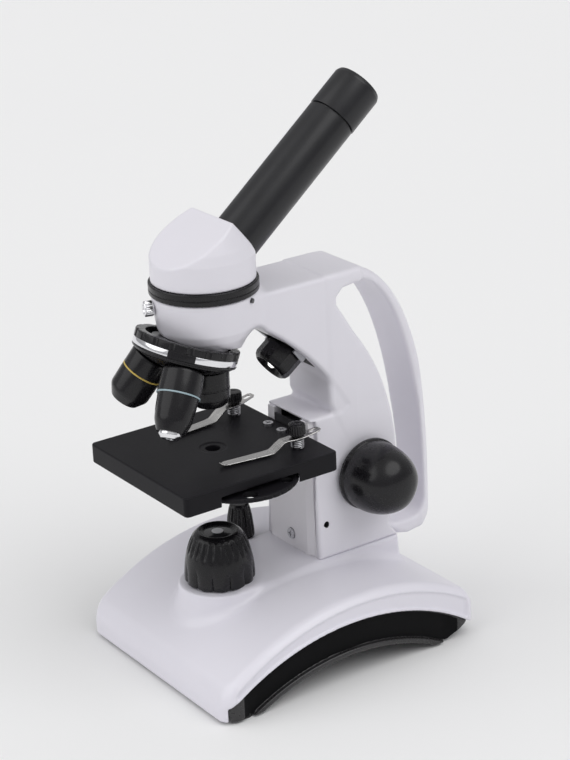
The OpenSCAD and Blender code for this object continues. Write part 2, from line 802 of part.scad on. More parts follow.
module objective_high() {
    color("#1c1c1e") centred() on_objective(2) difference() {
        objective([[0, 4], [6, 4], [6, 0], [10, 0], [10.4, -1], [10.8, -11.7], [10.4, -11.8],
            [10.4, -12.6], [10.8, -12.7], [9.9, -20], [9.1, 8.5 - high_len], [7, 3 - high_len],
            [0, 3 - high_len]]);
        translate([0, 0, -seat_d - high_len - 1]) cylinder(r = 5.6 + fit, h = 22.8);
        translate([0, 0, -seat_d - 30]) cylinder(r = 4, h = 40);
    }
}

module objective_bands() {
    color("#c8a93a") centred() on_objective(1) translate([0, 0, -seat_d - 10.3]) ring(10.7, 10.3, 0.8);
    color("#9fb9c4") centred() on_objective(2) translate([0, 0, -seat_d - 12.6]) ring(10.9, 10.4, 0.8);
}

module objective_lenses() {
    color("#cfe3ea") centred() {
        on_objective(0) translate([0, 0, -seat_d - low_len + 0.8]) cylinder(r = 4.4, h = 2.4);
        on_objective(1) translate([0, 0, -seat_d - mid_len + 0.6]) cylinder(r = 4, h = 2.4);
    }
}

module high_nose() {
    color("silver") centred() on_objective(2) translate([0, 0, -seat_d - high_len]) difference() {
        rotate_extrude() polygon([[0, 0], [4.2, 0], [5.6, 1.6], [5.6, 12], [0, 12]]);
        translate([0, 0, -1]) cylinder(r = 2, h = 20);
    }
}

module high_front_lens() {
    color("#cfe3ea") centred() on_objective(2) translate([0, 0, -seat_d - high_len + 0.3])
        cylinder(r = 2, h = 1.6);
}

module nose_spring() {
    color("silver") centred() on_objective(2) translate([0, 0, 12 - seat_d - high_len])
        ring(5.4, 4.4, 9.8);
}

// ---------------------------------------------------------------- stage

module stage_plate() {
    color("#1d1d20") centred() difference() {
        union() {
            difference() {
                translate([0, 0, stage_z - stage_t])
                    linear_extrude(stage_t) round_rect(2 * stage_half, 2 * stage_half, 2.5);
                translate([0, 0, stage_z - stage_t - 1]) linear_extrude(stage_t - 2.2)
                    round_rect(2 * stage_half - 6, 2 * stage_half - 6, 2);
                translate([30, -24.5, stage_z - stage_t - 1]) cube([20, 43, 6.4]);
                translate([disc_x, 0, stage_z - stage_t - 1])
                    cylinder(r = disc_r + 0.5, h = 6.4, $fn = 120);
            }
            translate([0, 0, stage_z - 6.8]) cylinder(r = stage_hole_r + 1.8, h = 5.6);
        }
        translate([0, 0, stage_z - 20]) cylinder(r = stage_hole_r, h = 40);
        translate([0, 0, stage_z - 0.5]) cylinder(r = stage_hole_r + 3, h = 2);
        translate([disc_x, 0, stage_z - 20]) cylinder(r = 1.5, h = 19);
        for (x = [-1, 1]) translate([x * clip_x, clip_y, stage_z - 20]) cylinder(r = 1.5 + fit, h = 40);
        for (x = [-6, 6]) translate([x, 38, stage_z - 20]) cylinder(r = 1.4, h = 40);
        translate([-11, 41.9, stage_z - stage_t - 1]) cube([22, 5, 5.6]);
    }
}

module stage_bracket() {
    color("#161617") centred() difference() {
        union() {
            translate([-14, 33, stage_z - stage_t - 1]) cube([28, 8.9, stage_t - 2.2]);
            translate([-slide_half, 41.9, stage_z - 13.5]) cube([2 * slide_half, 3.4, 7.8]);
            translate([-slide_half, 45.2, stage_z - 13.5]) cube([2 * slide_half, 12.2, 13.7]);
            translate([-slide_half, 50.5, stage_z - 32]) cube([2 * slide_half, 9.1, 23.7]);
            translate([-slide_half, 45.2, stage_z]) cube([2 * slide_half, 1.2, 3.5]);
        }
        for (x = [-6, 6]) translate([x, 38, stage_z - 20]) cylinder(r = 1.4, h = 40);
    }
}

module bracket_screws() {
    color("silver") centred() for (x = [-6, 6]) translate([x, 38, 0]) {
        difference() {
            translate([0, 0, stage_z]) cylinder(r = 2.6, h = 1.4);
            for (a = [20, 110]) translate([0, 0, stage_z + 1.4]) rotate([0, 0, a])
                cube([3.2, 0.7, 1.2], center = true);
        }
        translate([0, 0, stage_z - stage_t - 1]) cylinder(r = 1.4, h = stage_t + 1);
    }
}

tooth_pitch = 2 * PI * pinion_r / 15;

module focus_rack() {
    color("#b59a4a") centred() difference() {
        translate([-3, 59.6, shaft_z - 13]) cube([6, 15.3, 33]);
        for (i = [-6:8]) translate([0, 0, shaft_z + (i + 0.5) * tooth_pitch])
            rotate([0, 90, 0]) linear_extrude(10, center = true)
                polygon([[-0.42, 72.8], [0.42, 72.8], [0.9, 75.1], [-0.9, 75.1]]);
    }
}

module disc_pivot() {
    color("silver") centred() translate([disc_x, 0, 0]) {
        translate([0, 0, stage_z - stage_t - 1.9]) cylinder(r = 4, h = 1.2);
        translate([0, 0, stage_z - stage_t - 0.7]) cylinder(r = 1.5, h = 9.2);
    }
}

module filter_disc() {
    color("#232325") centred() translate([disc_x, 0, stage_z - stage_t + 0.1]) difference() {
        rotate_extrude($fn = 96) polygon([[1.5 + fit, -0.5], [6, -0.5], [10, 0], [disc_r - 2, 0],
            [disc_r, 0.6], [disc_r, 2.2],
            [disc_r - 1, 2.8], [14, 2.8], [12, 3.4], [1.5 + fit, 3.4]]);
        for (i = [0:5]) rotate([0, 0, 158 + 60 * i]) translate([disc_x, 0, -2])
            cylinder(r = 3.8 - 0.4 * i, h = 8, $fn = 32);
        for (i = [0:35]) rotate([0, 0, 10 * i]) translate([disc_r + 0.5, 0, -1])
            cylinder(r = 0.9, h = 6, $fn = 16);
    }
}

module clip_strip() {
    difference() {
        union() {
            rotate([90, 0, 90]) translate([0, 0, -3.4]) linear_extrude(6.8) polygon([
                [-43.2, 2.2], [-43.5, 1.8], [-42, 1], [-41.6, 0.9], [-15.5, 0.9], [-8, 5.6],
                    [2, 5.6], [8, 6.6], [13, 7.4],
                [13, 8.1], [8, 7.3], [2, 6.3], [-8.3, 6.3], [-15.8, 1.6], [-41.2, 1.6]]);
        }
        cylinder(r = 1.5, h = 20);
        translate([0, 9.6, 0]) linear_extrude(20) round_rect(2.8, 5, 1.3);
        for (x = [-1, 1]) translate([x * 6.2, -42.5, -1]) rotate([0, 0, 45])
            cube([7, 7, 10], center = true);
        for (x = [-1, 1]) translate([x * 5.8, 14.6, 5]) rotate([0, 0, 45])
            cube([7, 7, 10], center = true);
    }
}

module clip_post() {
    translate([0, 0, -7]) cylinder(r = 1.5, h = 20);
    translate([0, 0, 0.3]) ring(3.6, 1.5, 5.2);
    translate([0, 0, 6.4]) difference() {
        rotate_extrude() polygon([[1.5, 0], [3.4, 0], [3.6, 0.6], [4.6, 1.4], [4.8, 2],
            [4.8, 6.8], [4.4, 7.4], [1.5, 7.4]]);
        for (i = [0:15]) rotate([0, 0, i * 22.5]) translate([5.1, 0, 0])
            cylinder(r = 0.6, h = 9, $fn = 16);
    }
    translate([0, 0, 13]) cylinder(r = 1.5, h = 0.8);
}

module at_clip(side) {
    centred() translate([side * clip_x, clip_y, stage_z]) rotate([0, 0, side * -6.5]) children();
}

module clip_right() {
    color("silver") at_clip(1) clip_strip();
}

module clip_left() {
    color("silver") at_clip(-1) clip_strip();
}

module clip_right_post() {
    color("#151516") at_clip(1) clip_post();
}

module clip_left_post() {
    color("#151516") at_clip(-1) clip_post();
}

// ---------------------------------------------------------------- focus

module focus_shaft() {
    color("silver") centred() translate([0, shaft_y, shaft_z]) rotate([0, 90, 0])
        cylinder(r = shaft_r, h = 84, center = true);
}

module focus_pinion() {
    color("#b59a4a") centred() translate([0, shaft_y, shaft_z]) rotate([0, 90, 0]) difference() {
        cylinder(r = 6, h = 8, center = true);
        cylinder(r = shaft_r, h = 20, center = true);
        for (i = [0:14]) rotate([0, 0, i * 24 + 12 + 90]) linear_extrude(10, center = true)
            polygon([[3.95, -0.45], [3.95, 0.45], [6.4, 1.15], [6.4, -1.15]]);
    }
}

module focus_knob() {
    difference() {
        rotate_extrude($fn = 96) polygon([[0, 0], [17.8, 0], [knob_r, 0.8], [knob_r, 2.6],
            [knob_r - 0.9, 3.8], [knob_r - 0.4, 9], [knob_r - 1.2, 15], [knob_r - 2.8, 20.5],
            [knob_r - 5.6, 25], [knob_r - 9.4, 28], [knob_r - 14.5, knob_len - 0.3],
            [0, knob_len]]);
        translate([0, 0, -1]) cylinder(r = shaft_r, h = 43 - 23 + 1);
        translate([0, 0, -1]) ring(16, 7, 12);
    }
}

module focus_knobs() {
    color("#121213") centred() for (x = [-1, 1]) translate([0, shaft_y, shaft_z]) rotate([0, x * 90, 0])
        translate([0, 0, 23.5]) focus_knob();
}

// ---------------------------------------------------------------- upper lamp and controls

module upper_lamp() {
    color("#17171a") centred() on_upper_lamp() difference() {
        union() {
            rotate_extrude() polygon([[0, 0], [8.2, 0], [lamp_r - 0.8, 1.2], [lamp_r, 3],
                [lamp_r, 20], [0, 20]]);
            translate([0, 0, 16.5]) rotate([0, 90, 0]) cylinder(r = 1.5, h = 25, center = true);
        }
        translate([0, 0, -1]) cylinder(r1 = 8.2, r2 = 6, h = 5);
        translate([0, 0, 3]) cylinder(r = 6, h = 9);
    }
}

module upper_lamp_lens() {
    color("#dfe9f2") centred() on_upper_lamp() difference() {
        translate([0, 0, 4]) cylinder(r = 6, h = 3);
        translate([0, 0, -6]) sphere(r = 11, $fn = 60);
    }
}

module brightness_knob() {
    color("#151516") centred() translate([dial_x, dial_y, 0]) {
        translate([0, 0, 35.2]) cylinder(r = 3, h = 12);
        translate([0, 0, 46]) difference() {
            rotate_extrude() polygon([[2, 0], [7.1, 0], [7.6, 0.8], [7.4, 4], [6.6, 11],
                [5.6, 16.5], [5, 18.4], [4, 19], [0, 19],
                [0, 4], [2, 4]]);
            for (i = [0:17]) rotate([0, 0, i * 20]) translate([8, 0, 1.6])
                rotate([0, -7, 0]) cylinder(r = 0.8, h = 20, $fn = 16);
        }
    }
}

base_shell();
base_plate();
rubber_feet();
base_screws();
battery_cover();
battery_tray();
batteries();
circuit_board();
dimmer_pot();
power_jack();
lamp_housing();
lamp_lens();
lamp_board();
arm_casting();
front_plate();
front_plate_screw();
guide_ways();
focus_bushes();
arm_bolts();
nosepiece_mount();
click_spring();
ring_stop_screw();
lamp_bracket();
head_housing();
head_ring();
head_flange();
prism();
eyepiece_tube();
eyepiece_barrel();
eyepiece_cap();
eye_lens();
field_lens();
head_lock_screw();
turret_shell();
turret_rim();
objective_low();
objective_mid();
objective_high();
objective_bands();
objective_lenses();
high_nose();
high_front_lens();
nose_spring();
stage_plate();
stage_bracket();
bracket_screws();
focus_rack();
disc_pivot();
filter_disc();
clip_right();
clip_right_post();
clip_left();
clip_left_post();
focus_shaft();
focus_pinion();
focus_knobs();
upper_lamp();
upper_lamp_lens();
brightness_knob();
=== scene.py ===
import json
import math

import bmesh
import bpy
import numpy as np
import openvdb as vdb
from mathutils import Euler, Matrix, Vector


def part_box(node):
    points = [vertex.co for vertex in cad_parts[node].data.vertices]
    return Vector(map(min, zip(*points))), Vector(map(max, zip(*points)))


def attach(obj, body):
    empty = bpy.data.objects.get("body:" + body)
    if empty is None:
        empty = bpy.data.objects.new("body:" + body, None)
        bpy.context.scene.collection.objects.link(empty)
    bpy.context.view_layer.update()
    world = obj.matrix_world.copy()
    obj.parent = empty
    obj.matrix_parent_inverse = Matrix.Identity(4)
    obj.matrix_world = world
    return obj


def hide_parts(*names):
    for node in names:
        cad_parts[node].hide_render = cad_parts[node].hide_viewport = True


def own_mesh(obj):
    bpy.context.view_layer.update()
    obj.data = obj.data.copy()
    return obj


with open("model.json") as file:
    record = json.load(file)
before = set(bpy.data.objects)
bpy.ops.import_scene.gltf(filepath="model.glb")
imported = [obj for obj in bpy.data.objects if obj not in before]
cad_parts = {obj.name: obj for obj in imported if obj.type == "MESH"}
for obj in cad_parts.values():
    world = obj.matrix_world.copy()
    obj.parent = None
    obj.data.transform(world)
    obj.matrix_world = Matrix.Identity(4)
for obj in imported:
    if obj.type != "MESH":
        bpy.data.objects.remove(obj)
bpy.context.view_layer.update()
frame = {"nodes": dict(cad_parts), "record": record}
nodes = frame["nodes"]
slot_of = {s["node"]: s["material_slot"] for s in frame["record"]["subparts"]}
COARSE = 1.0

# Pieces are drawn in millimetres with the optical axis at x = y = 0 and the base on z = 0, as in
# the CAD source, and DESIGN moves them into the frame.
ring_lo, ring_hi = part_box("head_ring")
MID = -500.0 * (ring_lo.y + ring_hi.y)
DESIGN = Matrix.Scale(0.001, 4) @ Matrix.Translation((0, -MID, 0))

# The axes of the tube and of the nosepiece cross the optical axis at this height.
APEX = 206.8
NOSE_DEGREES = 20.4
TUBE_DEGREES = 39.6
LAMP_DEGREES = 36.3
NOSE_TILT = math.radians(NOSE_DEGREES)
TUBE_TILT = math.radians(TUBE_DEGREES)
LAMP_COS = math.cos(math.radians(LAMP_DEGREES))
LAMP_SIN = math.sin(math.radians(LAMP_DEGREES))

BASE_MID = 37.5
BASE_HALF = (66, 79.5)
FEET = [(x, y) for x in (-50, 50) for y in (-27, 94)]
BOSS_TOP = 44.5
DIAL_X, DIAL_Y = -33, 35
BOLTS_Y = (60, 86)
SHAFT_Y, SHAFT_Z = 79, 89
LAMP_Y, LAMP_Z = 36, 151.3
COLLAR_TOP = 201.2
HEAD_FOOT = 207.3
LOCK_Z, LOCK_AZIMUTH = 195.5, -107.2
STOP_Z, STOP_AZIMUTH = 198.6, 28.5
DECK_TOP = 117.5
CLIP_X, CLIP_Y, CLIP_TURN = 28.5, 32, 6.5
DISC_X = 24
SIDE_HOLE_Y, SIDE_HOLE_Z = 52, 67.1
OBJECTIVE_REACH = 47
CAP_FOOT = 103.7
SIDES = ((1, "right"), (-1, "left"))

T = Matrix.Translation


def turn(degrees, axis):
    return Matrix.Rotation(math.radians(degrees), 4, axis)


ON_TURRET = T((0, 0, APEX)) @ turn(-NOSE_DEGREES, "X")
ON_TUBE = T((0, 0, APEX)) @ turn(TUBE_DEGREES - 90, "X")
ON_LAMP = T((0, LAMP_Y, LAMP_Z)) @ turn(LAMP_DEGREES - 90, "X")
ON_LOCK = T((0, 0, LOCK_Z)) @ turn(LOCK_AZIMUTH + 90, "Z") @ turn(90, "X")
ON_BOSS = T((0, 0, BOSS_TOP))
ON_DIAL = T((DIAL_X, DIAL_Y, 0))


def on_objective(k):
    return ON_TURRET @ turn(120 * k, "Z") @ turn(NOSE_DEGREES, "X")


def on_clip(side):
    return T((side * CLIP_X, CLIP_Y, DECK_TOP)) @ turn(-side * CLIP_TURN, "Z")


def on_knob(side):
    return T((0, SHAFT_Y, SHAFT_Z)) @ turn(90 * side, "Y") @ T((0, 0, 23.5))


def lamp_axes(y, z):
    """Distance along the upper lamp's axis from its pivot, and distance across it."""
    y, z = y - LAMP_Y, z - LAMP_Z
    return y * LAMP_COS + z * LAMP_SIN, y * LAMP_SIN - z * LAMP_COS


# ---------------------------------------------------------------- materials


def noise(tree, where, scale, detail, roughness=0.5):
    n = tree.nodes.new("ShaderNodeTexNoise")
    n.inputs["Scale"].default_value = scale
    n.inputs["Detail"].default_value = detail
    n.inputs["Roughness"].default_value = roughness
    tree.links.new(where, n.inputs["Vector"])
    return n.outputs["Fac"]


def map_range(tree, value, lo, hi, to_lo=0.0, to_hi=1.0):
    n = tree.nodes.new("ShaderNodeMapRange")
    n.inputs["From Min"].default_value = lo
    n.inputs["From Max"].default_value = hi
    n.inputs["To Min"].default_value = to_lo
    n.inputs["To Max"].default_value = to_hi
    tree.links.new(value, n.inputs["Value"])
    return n.outputs["Result"]


def mix_colour(tree, factor, a, b):
    n = tree.nodes.new("ShaderNodeMix")
    n.data_type = "RGBA"
    tree.links.new(factor, n.inputs[0])
    for socket, value in ((n.inputs[6], a), (n.inputs[7], b)):
        if isinstance(value, tuple):
            socket.default_value = (*value, 1)
        else:
            tree.links.new(value, socket)
    return n.outputs[2]


def multiply(tree, a, b):
    n = tree.nodes.new("ShaderNodeMath")
    n.operation = "MULTIPLY"
    for socket, value in zip(n.inputs, (a, b)):
        if isinstance(value, float):
            socket.default_value = value
        else:
            tree.links.new(value, socket)
    return n.outputs["Value"]


def average(tree, a, b):
    n = tree.nodes.new("ShaderNodeMath")
    n.operation = "MULTIPLY_ADD"
    tree.links.new(a, n.inputs[0])
    n.inputs[1].default_value = 0.5
    tree.links.new(multiply(tree, b, 0.5), n.inputs[2])
    return n.outputs["Value"]


def rubbed_edges(tree, colour, patches, wear, worn):
    edge = tree.nodes.new("ShaderNodeNewGeometry").outputs["Pointiness"]
    rub = multiply(tree, map_range(tree, edge, 0.53, 0.62, to_hi=wear), patches)
    return mix_colour(tree, rub, colour, worn)


def dusty_top(tree, colour, where, grain, dust):
    split = tree.nodes.new("ShaderNodeSeparateXYZ")
    tree.links.new(tree.nodes.new("ShaderNodeNewGeometry").outputs["Normal"], split.inputs["Vector"])
    lay = map_range(tree, split.outputs["Z"], 0.55, 1.0, to_hi=dust)
    specks = noise(tree, where, grain * 1.7, 2.0)
    return mix_colour(tree, multiply(tree, lay, specks), colour, (0.45, 0.44, 0.46))


# Two noises, a broad and a fine one, vary the tone, the polish and the relief of every material.
def material(name, colour, rough=0.4, metal=0.0, vary=0.05, patch=45.0, grain=900.0,
             relief=0.12, depth=0.00004, spread=0.07, wear=0.0, worn=(0.6, 0.6, 0.62),
             stretch=(1, 1, 1), coat=0.0, glass=0.0, glow=0.0, specular=0.5, dust=0.0):
    m = bpy.data.materials.new(name)
    m.use_nodes = True
    t = m.node_tree
    s = t.nodes["Principled BSDF"]
    s.inputs["Metallic"].default_value = metal
    s.inputs["Coat Weight"].default_value = coat
    s.inputs["Coat Roughness"].default_value = 0.12
    s.inputs["Specular IOR Level"].default_value = specular
    if glass:
        s.inputs["Transmission Weight"].default_value = glass
        s.inputs["IOR"].default_value = 1.5
    if glow:
        s.inputs["Emission Color"].default_value = (*colour, 1)
        s.inputs["Emission Strength"].default_value = glow

    where = t.nodes.new("ShaderNodeTexCoord").outputs["Object"]
    stretched = t.nodes.new("ShaderNodeMapping")
    stretched.inputs["Scale"].default_value = stretch
    t.links.new(where, stretched.inputs["Vector"])
    broad = noise(t, stretched.outputs["Vector"], patch, 4.0, 0.6)
    fine = noise(t, stretched.outputs["Vector"], grain, 3.0, 0.55)

    darker = tuple(c * (1 - vary) for c in colour)
    lighter = tuple(min(1, c * (1 + vary)) for c in colour)
    shade = mix_colour(t, map_range(t, broad, 0.3, 0.7), darker, lighter)
    if wear:
        shade = rubbed_edges(t, shade, broad, wear, worn)
    if dust:
        shade = dusty_top(t, shade, where, grain, dust)
    t.links.new(shade, s.inputs["Base Color"])

    polish = map_range(t, average(t, broad, fine), 0.25, 0.75, max(0.02, rough - spread),
                       min(1.0, rough + spread))
    t.links.new(polish, s.inputs["Roughness"])

    bump = t.nodes.new("ShaderNodeBump")
    bump.inputs["Strength"].default_value = relief
    bump.inputs["Distance"].default_value = depth
    t.links.new(fine, bump.inputs["Height"])
    t.links.new(bump.outputs["Normal"], s.inputs["Normal"])
    return m


WHITE = (0.785, 0.768, 0.835)
M = {
    "shell_white": material("shell white", WHITE, 0.34, vary=0.012, patch=14, grain=520, relief=0.10,
                            coat=0.12, wear=0.12, worn=(0.70, 0.69, 0.72)),
    "white_casting": material("casting white", (0.785, 0.768, 0.825), 0.37, vary=0.014, patch=18,
                              grain=640, relief=0.16, coat=0.08, wear=0.12, worn=(0.68, 0.67, 0.7)),
    "white_plate": material("plate white", (0.87, 0.85, 0.89), 0.36, vary=0.02, patch=25, grain=700,
                            relief=0.14),
    "base_black": material("base black", (0.02, 0.019, 0.02), 0.28, vary=0.2, patch=30, grain=500,
                           relief=0.08, wear=0.1, worn=(0.1, 0.1, 0.11), coat=0.2),
    "knob_black": material("knob black", (0.0075, 0.007, 0.0085), 0.27, vary=0.2, patch=40, grain=700,
                           relief=0.06, coat=0.15, wear=0.1, worn=(0.1, 0.1, 0.11), specular=0.28),
    "rubber_black": material("rubber", (0.03, 0.03, 0.03), 0.75, vary=0.2, grain=1400, relief=0.4),
    "chrome_part": material("chrome", (0.84, 0.84, 0.86), 0.14, 1.0, vary=0.04, patch=80, grain=900,
                            relief=0.05, spread=0.05),
    "steel_part": material("steel", (0.58, 0.58, 0.6), 0.3, 1.0, vary=0.08, patch=60, grain=1200,
                           relief=0.2, spread=0.1),
    "black_metal": material("black metal", (0.014, 0.014, 0.016), 0.34, vary=0.2, patch=50, grain=900,
                            relief=0.1, wear=0.25, worn=(0.25, 0.25, 0.26), coat=0.1),
    "stage_black": material("stage black", (0.0075, 0.007, 0.009), 0.46, vary=0.18, patch=30,
                            grain=1500, relief=0.35, depth=0.00003, wear=0.2,
                            worn=(0.16, 0.16, 0.17), dust=0.008, specular=0.15),
    "optic_glass": material("optic glass", (0.86, 0.92, 0.95), 0.06, vary=0.02, glass=0.9,
                            relief=0.01, spread=0.03),
    "brass_part": material("brass", (0.68, 0.5, 0.22), 0.28, 1.0, vary=0.1, relief=0.12),
    "green_board": material("solder mask", (0.03, 0.17, 0.08), 0.35, vary=0.2, patch=300),
    "blue_pot": material("pot body", (0.06, 0.16, 0.3), 0.45, vary=0.1),
    "cell_wrap": material("cell wrap", (0.2, 0.3, 0.12), 0.4, vary=0.2, patch=120),
    "lamp_white": material("lamp white", (0.82, 0.82, 0.78), 0.5, vary=0.04),
    "band_paint": material("band paint", (0.62, 0.45, 0.1), 0.4, vary=0.06),
    "grey_bracket": material("grey bracket", (0.42, 0.42, 0.45), 0.38, 0.3, vary=0.06, wear=0.2),
}
TUBE = material("tube black", (0.010, 0.010, 0.012), 0.36, vary=0.2, patch=40, grain=1100, relief=0.14,
                depth=0.00003, coat=0.1, specular=0.4)
# Near-black painted shade for the hollows in the white arm.
HOLLOW_SHADE = material("painted hollow shade", (0.012, 0.012, 0.013), 0.6, vary=0.2, grain=800, relief=0.2)
PALE_BAND = material("pale band", (0.32, 0.42, 0.46), 0.35, vary=0.08)
PEARL = material("lamp dish", (0.7, 0.7, 0.73), 0.16, vary=0.05, glass=0.1, relief=0.02, spread=0.05)
# Near-black painted shade for the inner wall of the base's side channels.
PAINTED_RECESS_SHADE = material("recess painted shade", (0.004, 0.004, 0.0045), 0.6, vary=0.2, grain=800, relief=0.2,
                  specular=0.1)
CLIP = material("clip steel", (0.56, 0.55, 0.54), 0.24, 1.0, vary=0.12, patch=60, grain=1300, relief=0.22,
                spread=0.1, stretch=(6, 0.5, 1))
SMOKE = material("smoked dish", (0.02, 0.02, 0.023), 0.1, vary=0.2, relief=0.02, spread=0.04)
# A faint glow on the upper lamp's diode, as a painted glint.
DIODE_GLINT = material("diode glint", (1.0, 1.0, 0.98), 0.2, vary=0.02, glow=1.2)


# ---------------------------------------------------------------- solids from distance fields


def segment_square(start, end, a, b):
    """Squared distance of the points (a, b) from a straight segment."""
    p, q = start
    dp, dq = end[0] - p, end[1] - q
    u = np.clip(((a - p) * dp + (b - q) * dq) / (dp * dp + dq * dq), 0, 1)
    return (a - p - u * dp) ** 2 + (b - q - u * dq) ** 2


def outline_distance(points, a, b):
    """Distance of the points (a, b) from a closed outline, negative inside it."""
    best = np.full(a.shape, 1e12)
    inside = np.zeros(a.shape, bool)
    pts = [tuple(map(float, p)) for p in points]
    for start, end in zip(pts, pts[1:] + pts[:1]):
        if start == end:
            continue
        best = np.minimum(best, segment_square(start, end, a, b))
        (p0, q0), (p1, q1) = start, end
        if q1 != q0:
            inside ^= ((q0 > b) != (q1 > b)) & (a < (p1 - p0) * (b - q0) / (q1 - q0) + p0)
    return np.where(inside, -1.0, 1.0) * np.sqrt(best)


def path_distance(points, a, b):
    """Distance of the points (a, b) from an open line."""
    best = np.full(a.shape, 1e9)
    for start, end in zip(points, points[1:]):
        best = np.minimum(best, segment_square(start, end, a, b))
    return np.sqrt(best)


class Grid:
    """Points of a box in millimetres, where each method gives the distance from a simple solid."""

    def __init__(self, lo, hi, step):
        self.step = step
        self.axes = [np.arange(lo[i] - 3 * step, hi[i] + 3.5 * step, step) for i in range(3)]
        self.shape = tuple(len(a) for a in self.axes)
        f = np.float32
        self.x = self.axes[0].astype(f)[:, None, None]
        self.y = self.axes[1].astype(f)[None, :, None]
        self.z = self.axes[2].astype(f)[None, None, :]

    def flat(self, points, i, j):
        """An outline drawn on the axes i and j, and endless along the third."""
        a, b = np.meshgrid(self.axes[i], self.axes[j], indexing="ij")
        d = outline_distance(points, a, b).astype(np.float32)
        return np.expand_dims(d, 3 - i - j)

    def side(self, points):
        return self.flat(points, 1, 2)

    def plan(self, points):
        return self.flat(points, 0, 1)

    def spun(self, points, cx=0.0, cy=0.0):
        """An outline of (radius, height) turned about the upright line through (cx, cy)."""
        r = np.sqrt((self.x - cx) ** 2 + (self.y - cy) ** 2)[:, :, 0]
        step = self.step / 2
        radii = np.arange(0, r.max() + 3 * step, step)
        a, b = np.meshgrid(radii, self.axes[2], indexing="ij")
        table = outline_distance(list(points) + [(-p, q) for p, q in reversed(points)], a, b)
        table = table.astype(np.float32)
        k = np.minimum((r / step).astype(int), len(radii) - 2)
        w = (r / step - k).astype(np.float32)[:, :, None]
        return table[k] * (1 - w) + table[k + 1] * w

    def box(self, lo, hi):
        """A box from one corner to the other, measured to the planes of its faces."""
        d = None
        for v, a, b in zip((self.x, self.y, self.z), lo, hi):
            e = abs(v - (a + b) / 2) - (b - a) / 2
            d = e if d is None else np.maximum(d, e)
        return d

    def rod(self, centre, r, axis=2):
        """An endless round rod along an axis."""
        v = [self.x, self.y, self.z]
        v.pop(axis)
        return np.sqrt((v[0] - centre[0]) ** 2 + (v[1] - centre[1]) ** 2) - r


def both(a, b, r=0.0):
    """What two solids share, with the new edge rounded to the radius r."""
    if not r:
        return np.maximum(a, b)
    return np.minimum(-r, np.maximum(a, b)) + np.sqrt(
        np.maximum(a + r, 0) ** 2 + np.maximum(b + r, 0) ** 2)


def join(a, b, r=0.0):
    """Two solids as one, with a fillet of the radius r where they meet."""
    return -both(-a, -b, r)


def cut(a, b, r=0.0):
    """The first solid without the second."""
    return both(a, -b, r)


def round_rect(a, b, ha, hb, r):
    p, q = abs(a) - ha + r, abs(b) - hb + r
    return np.minimum(np.maximum(p, q), 0) + np.sqrt(np.maximum(p, 0) ** 2 + np.maximum(q, 0) ** 2) - r


def arc(cy, cz, r, a0, a1, n=12):
    return [(cy + r * math.cos(math.radians(a0 + (a1 - a0) * i / n)),
             cz + r * math.sin(math.radians(a0 + (a1 - a0) * i / n))) for i in range(n + 1)]


def curve(p, q, r, s, n=18):
    out = []
    for i in range(n + 1):
        t = i / n
        u = 1 - t
        out.append(tuple(u ** 3 * a + 3 * u * u * t * b + 3 * u * t * t * c + t ** 3 * d
                         for a, b, c, d in zip(p, q, r, s)))
    return out


def node_grid(name, step):
    """A grid round a CAD node's box."""
    lo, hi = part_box(name)
    move = Vector((0, MID, 0))
    return Grid(lo * 1000 + move, hi * 1000 + move, step * COARSE)


def mesh_object(name, co, faces, matrix):
    """An object from points in millimetres and faces, or an array of four-sided ones."""
    co = np.asarray(co, float)
    m = np.array(DESIGN @ matrix)
    co = co @ m[:3, :3].T + m[:3, 3]
    me = bpy.data.meshes.new(name)
    if isinstance(faces, np.ndarray):
        me.vertices.add(len(co))
        me.vertices.foreach_set("co", co.astype(np.float32).ravel())
        me.loops.add(faces.size)
        me.loops.foreach_set("vertex_index", faces.astype(np.int32).ravel())
        me.polygons.add(len(faces))
        me.polygons.foreach_set("loop_start", np.arange(0, faces.size, 4, dtype=np.int32))
        me.update(calc_edges=True)
    else:
        me.from_pydata(co.tolist(), [], faces)
    me.validate()
    me.polygons.foreach_set("use_smooth", np.ones(len(me.polygons), bool))
    o = bpy.data.objects.new(name, me)
    bpy.context.scene.collection.objects.link(o)
    return o


def surface(name, g, field, matrix=Matrix.Identity(4)):
    """The surface where a distance is zero, with its normals outward."""
    field = np.broadcast_to(field, g.shape)
    band = 3 * g.step
    grid = vdb.FloatGrid(band)
    grid.copyFromArray(np.ascontiguousarray(np.clip(field, -band, band), np.float32))
    points, quads = grid.convertToQuads()
    co = points * g.step + np.array([a[0] for a in g.axes])
    p = co[quads[:, 0]], co[quads[:, 1]], co[quads[:, 2]]
    if np.einsum("ij,ij->", p[0], np.cross(p[1], p[2])) < 0:
        quads = quads[:, ::-1]
    return mesh_object(name, co, np.ascontiguousarray(quads), matrix)


def dress(o, body, slot, mat, *stands_for):
    """Gives a piece its material and body, and hides the CAD nodes it stands for. The slot is not used."""
    o.data.materials.append(mat)
    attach(o, body)
    if stands_for:
        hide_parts(*stands_for)
    return o


def second_material(o, mat, chooser):
    """Gives another material to the faces that a test of centre and normal picks."""
    me = o.data
    me.materials.append(mat)
    c = np.zeros(len(me.polygons) * 3, np.float32)
    me.polygons.foreach_get("center", c)
    n = np.zeros(len(me.polygons) * 3, np.float32)
    me.polygons.foreach_get("normal", n)
    c = c.reshape(-1, 3) * 1000 + np.array([0, MID, 0])
    pick = chooser(c[:, 0], c[:, 1], c[:, 2], n.reshape(-1, 3))
    index = np.zeros(len(me.polygons), np.int32)
    me.polygons.foreach_get("material_index", index)
    index[pick] = len(me.materials) - 1
    me.polygons.foreach_set("material_index", index)


# ---------------------------------------------------------------- turned pieces


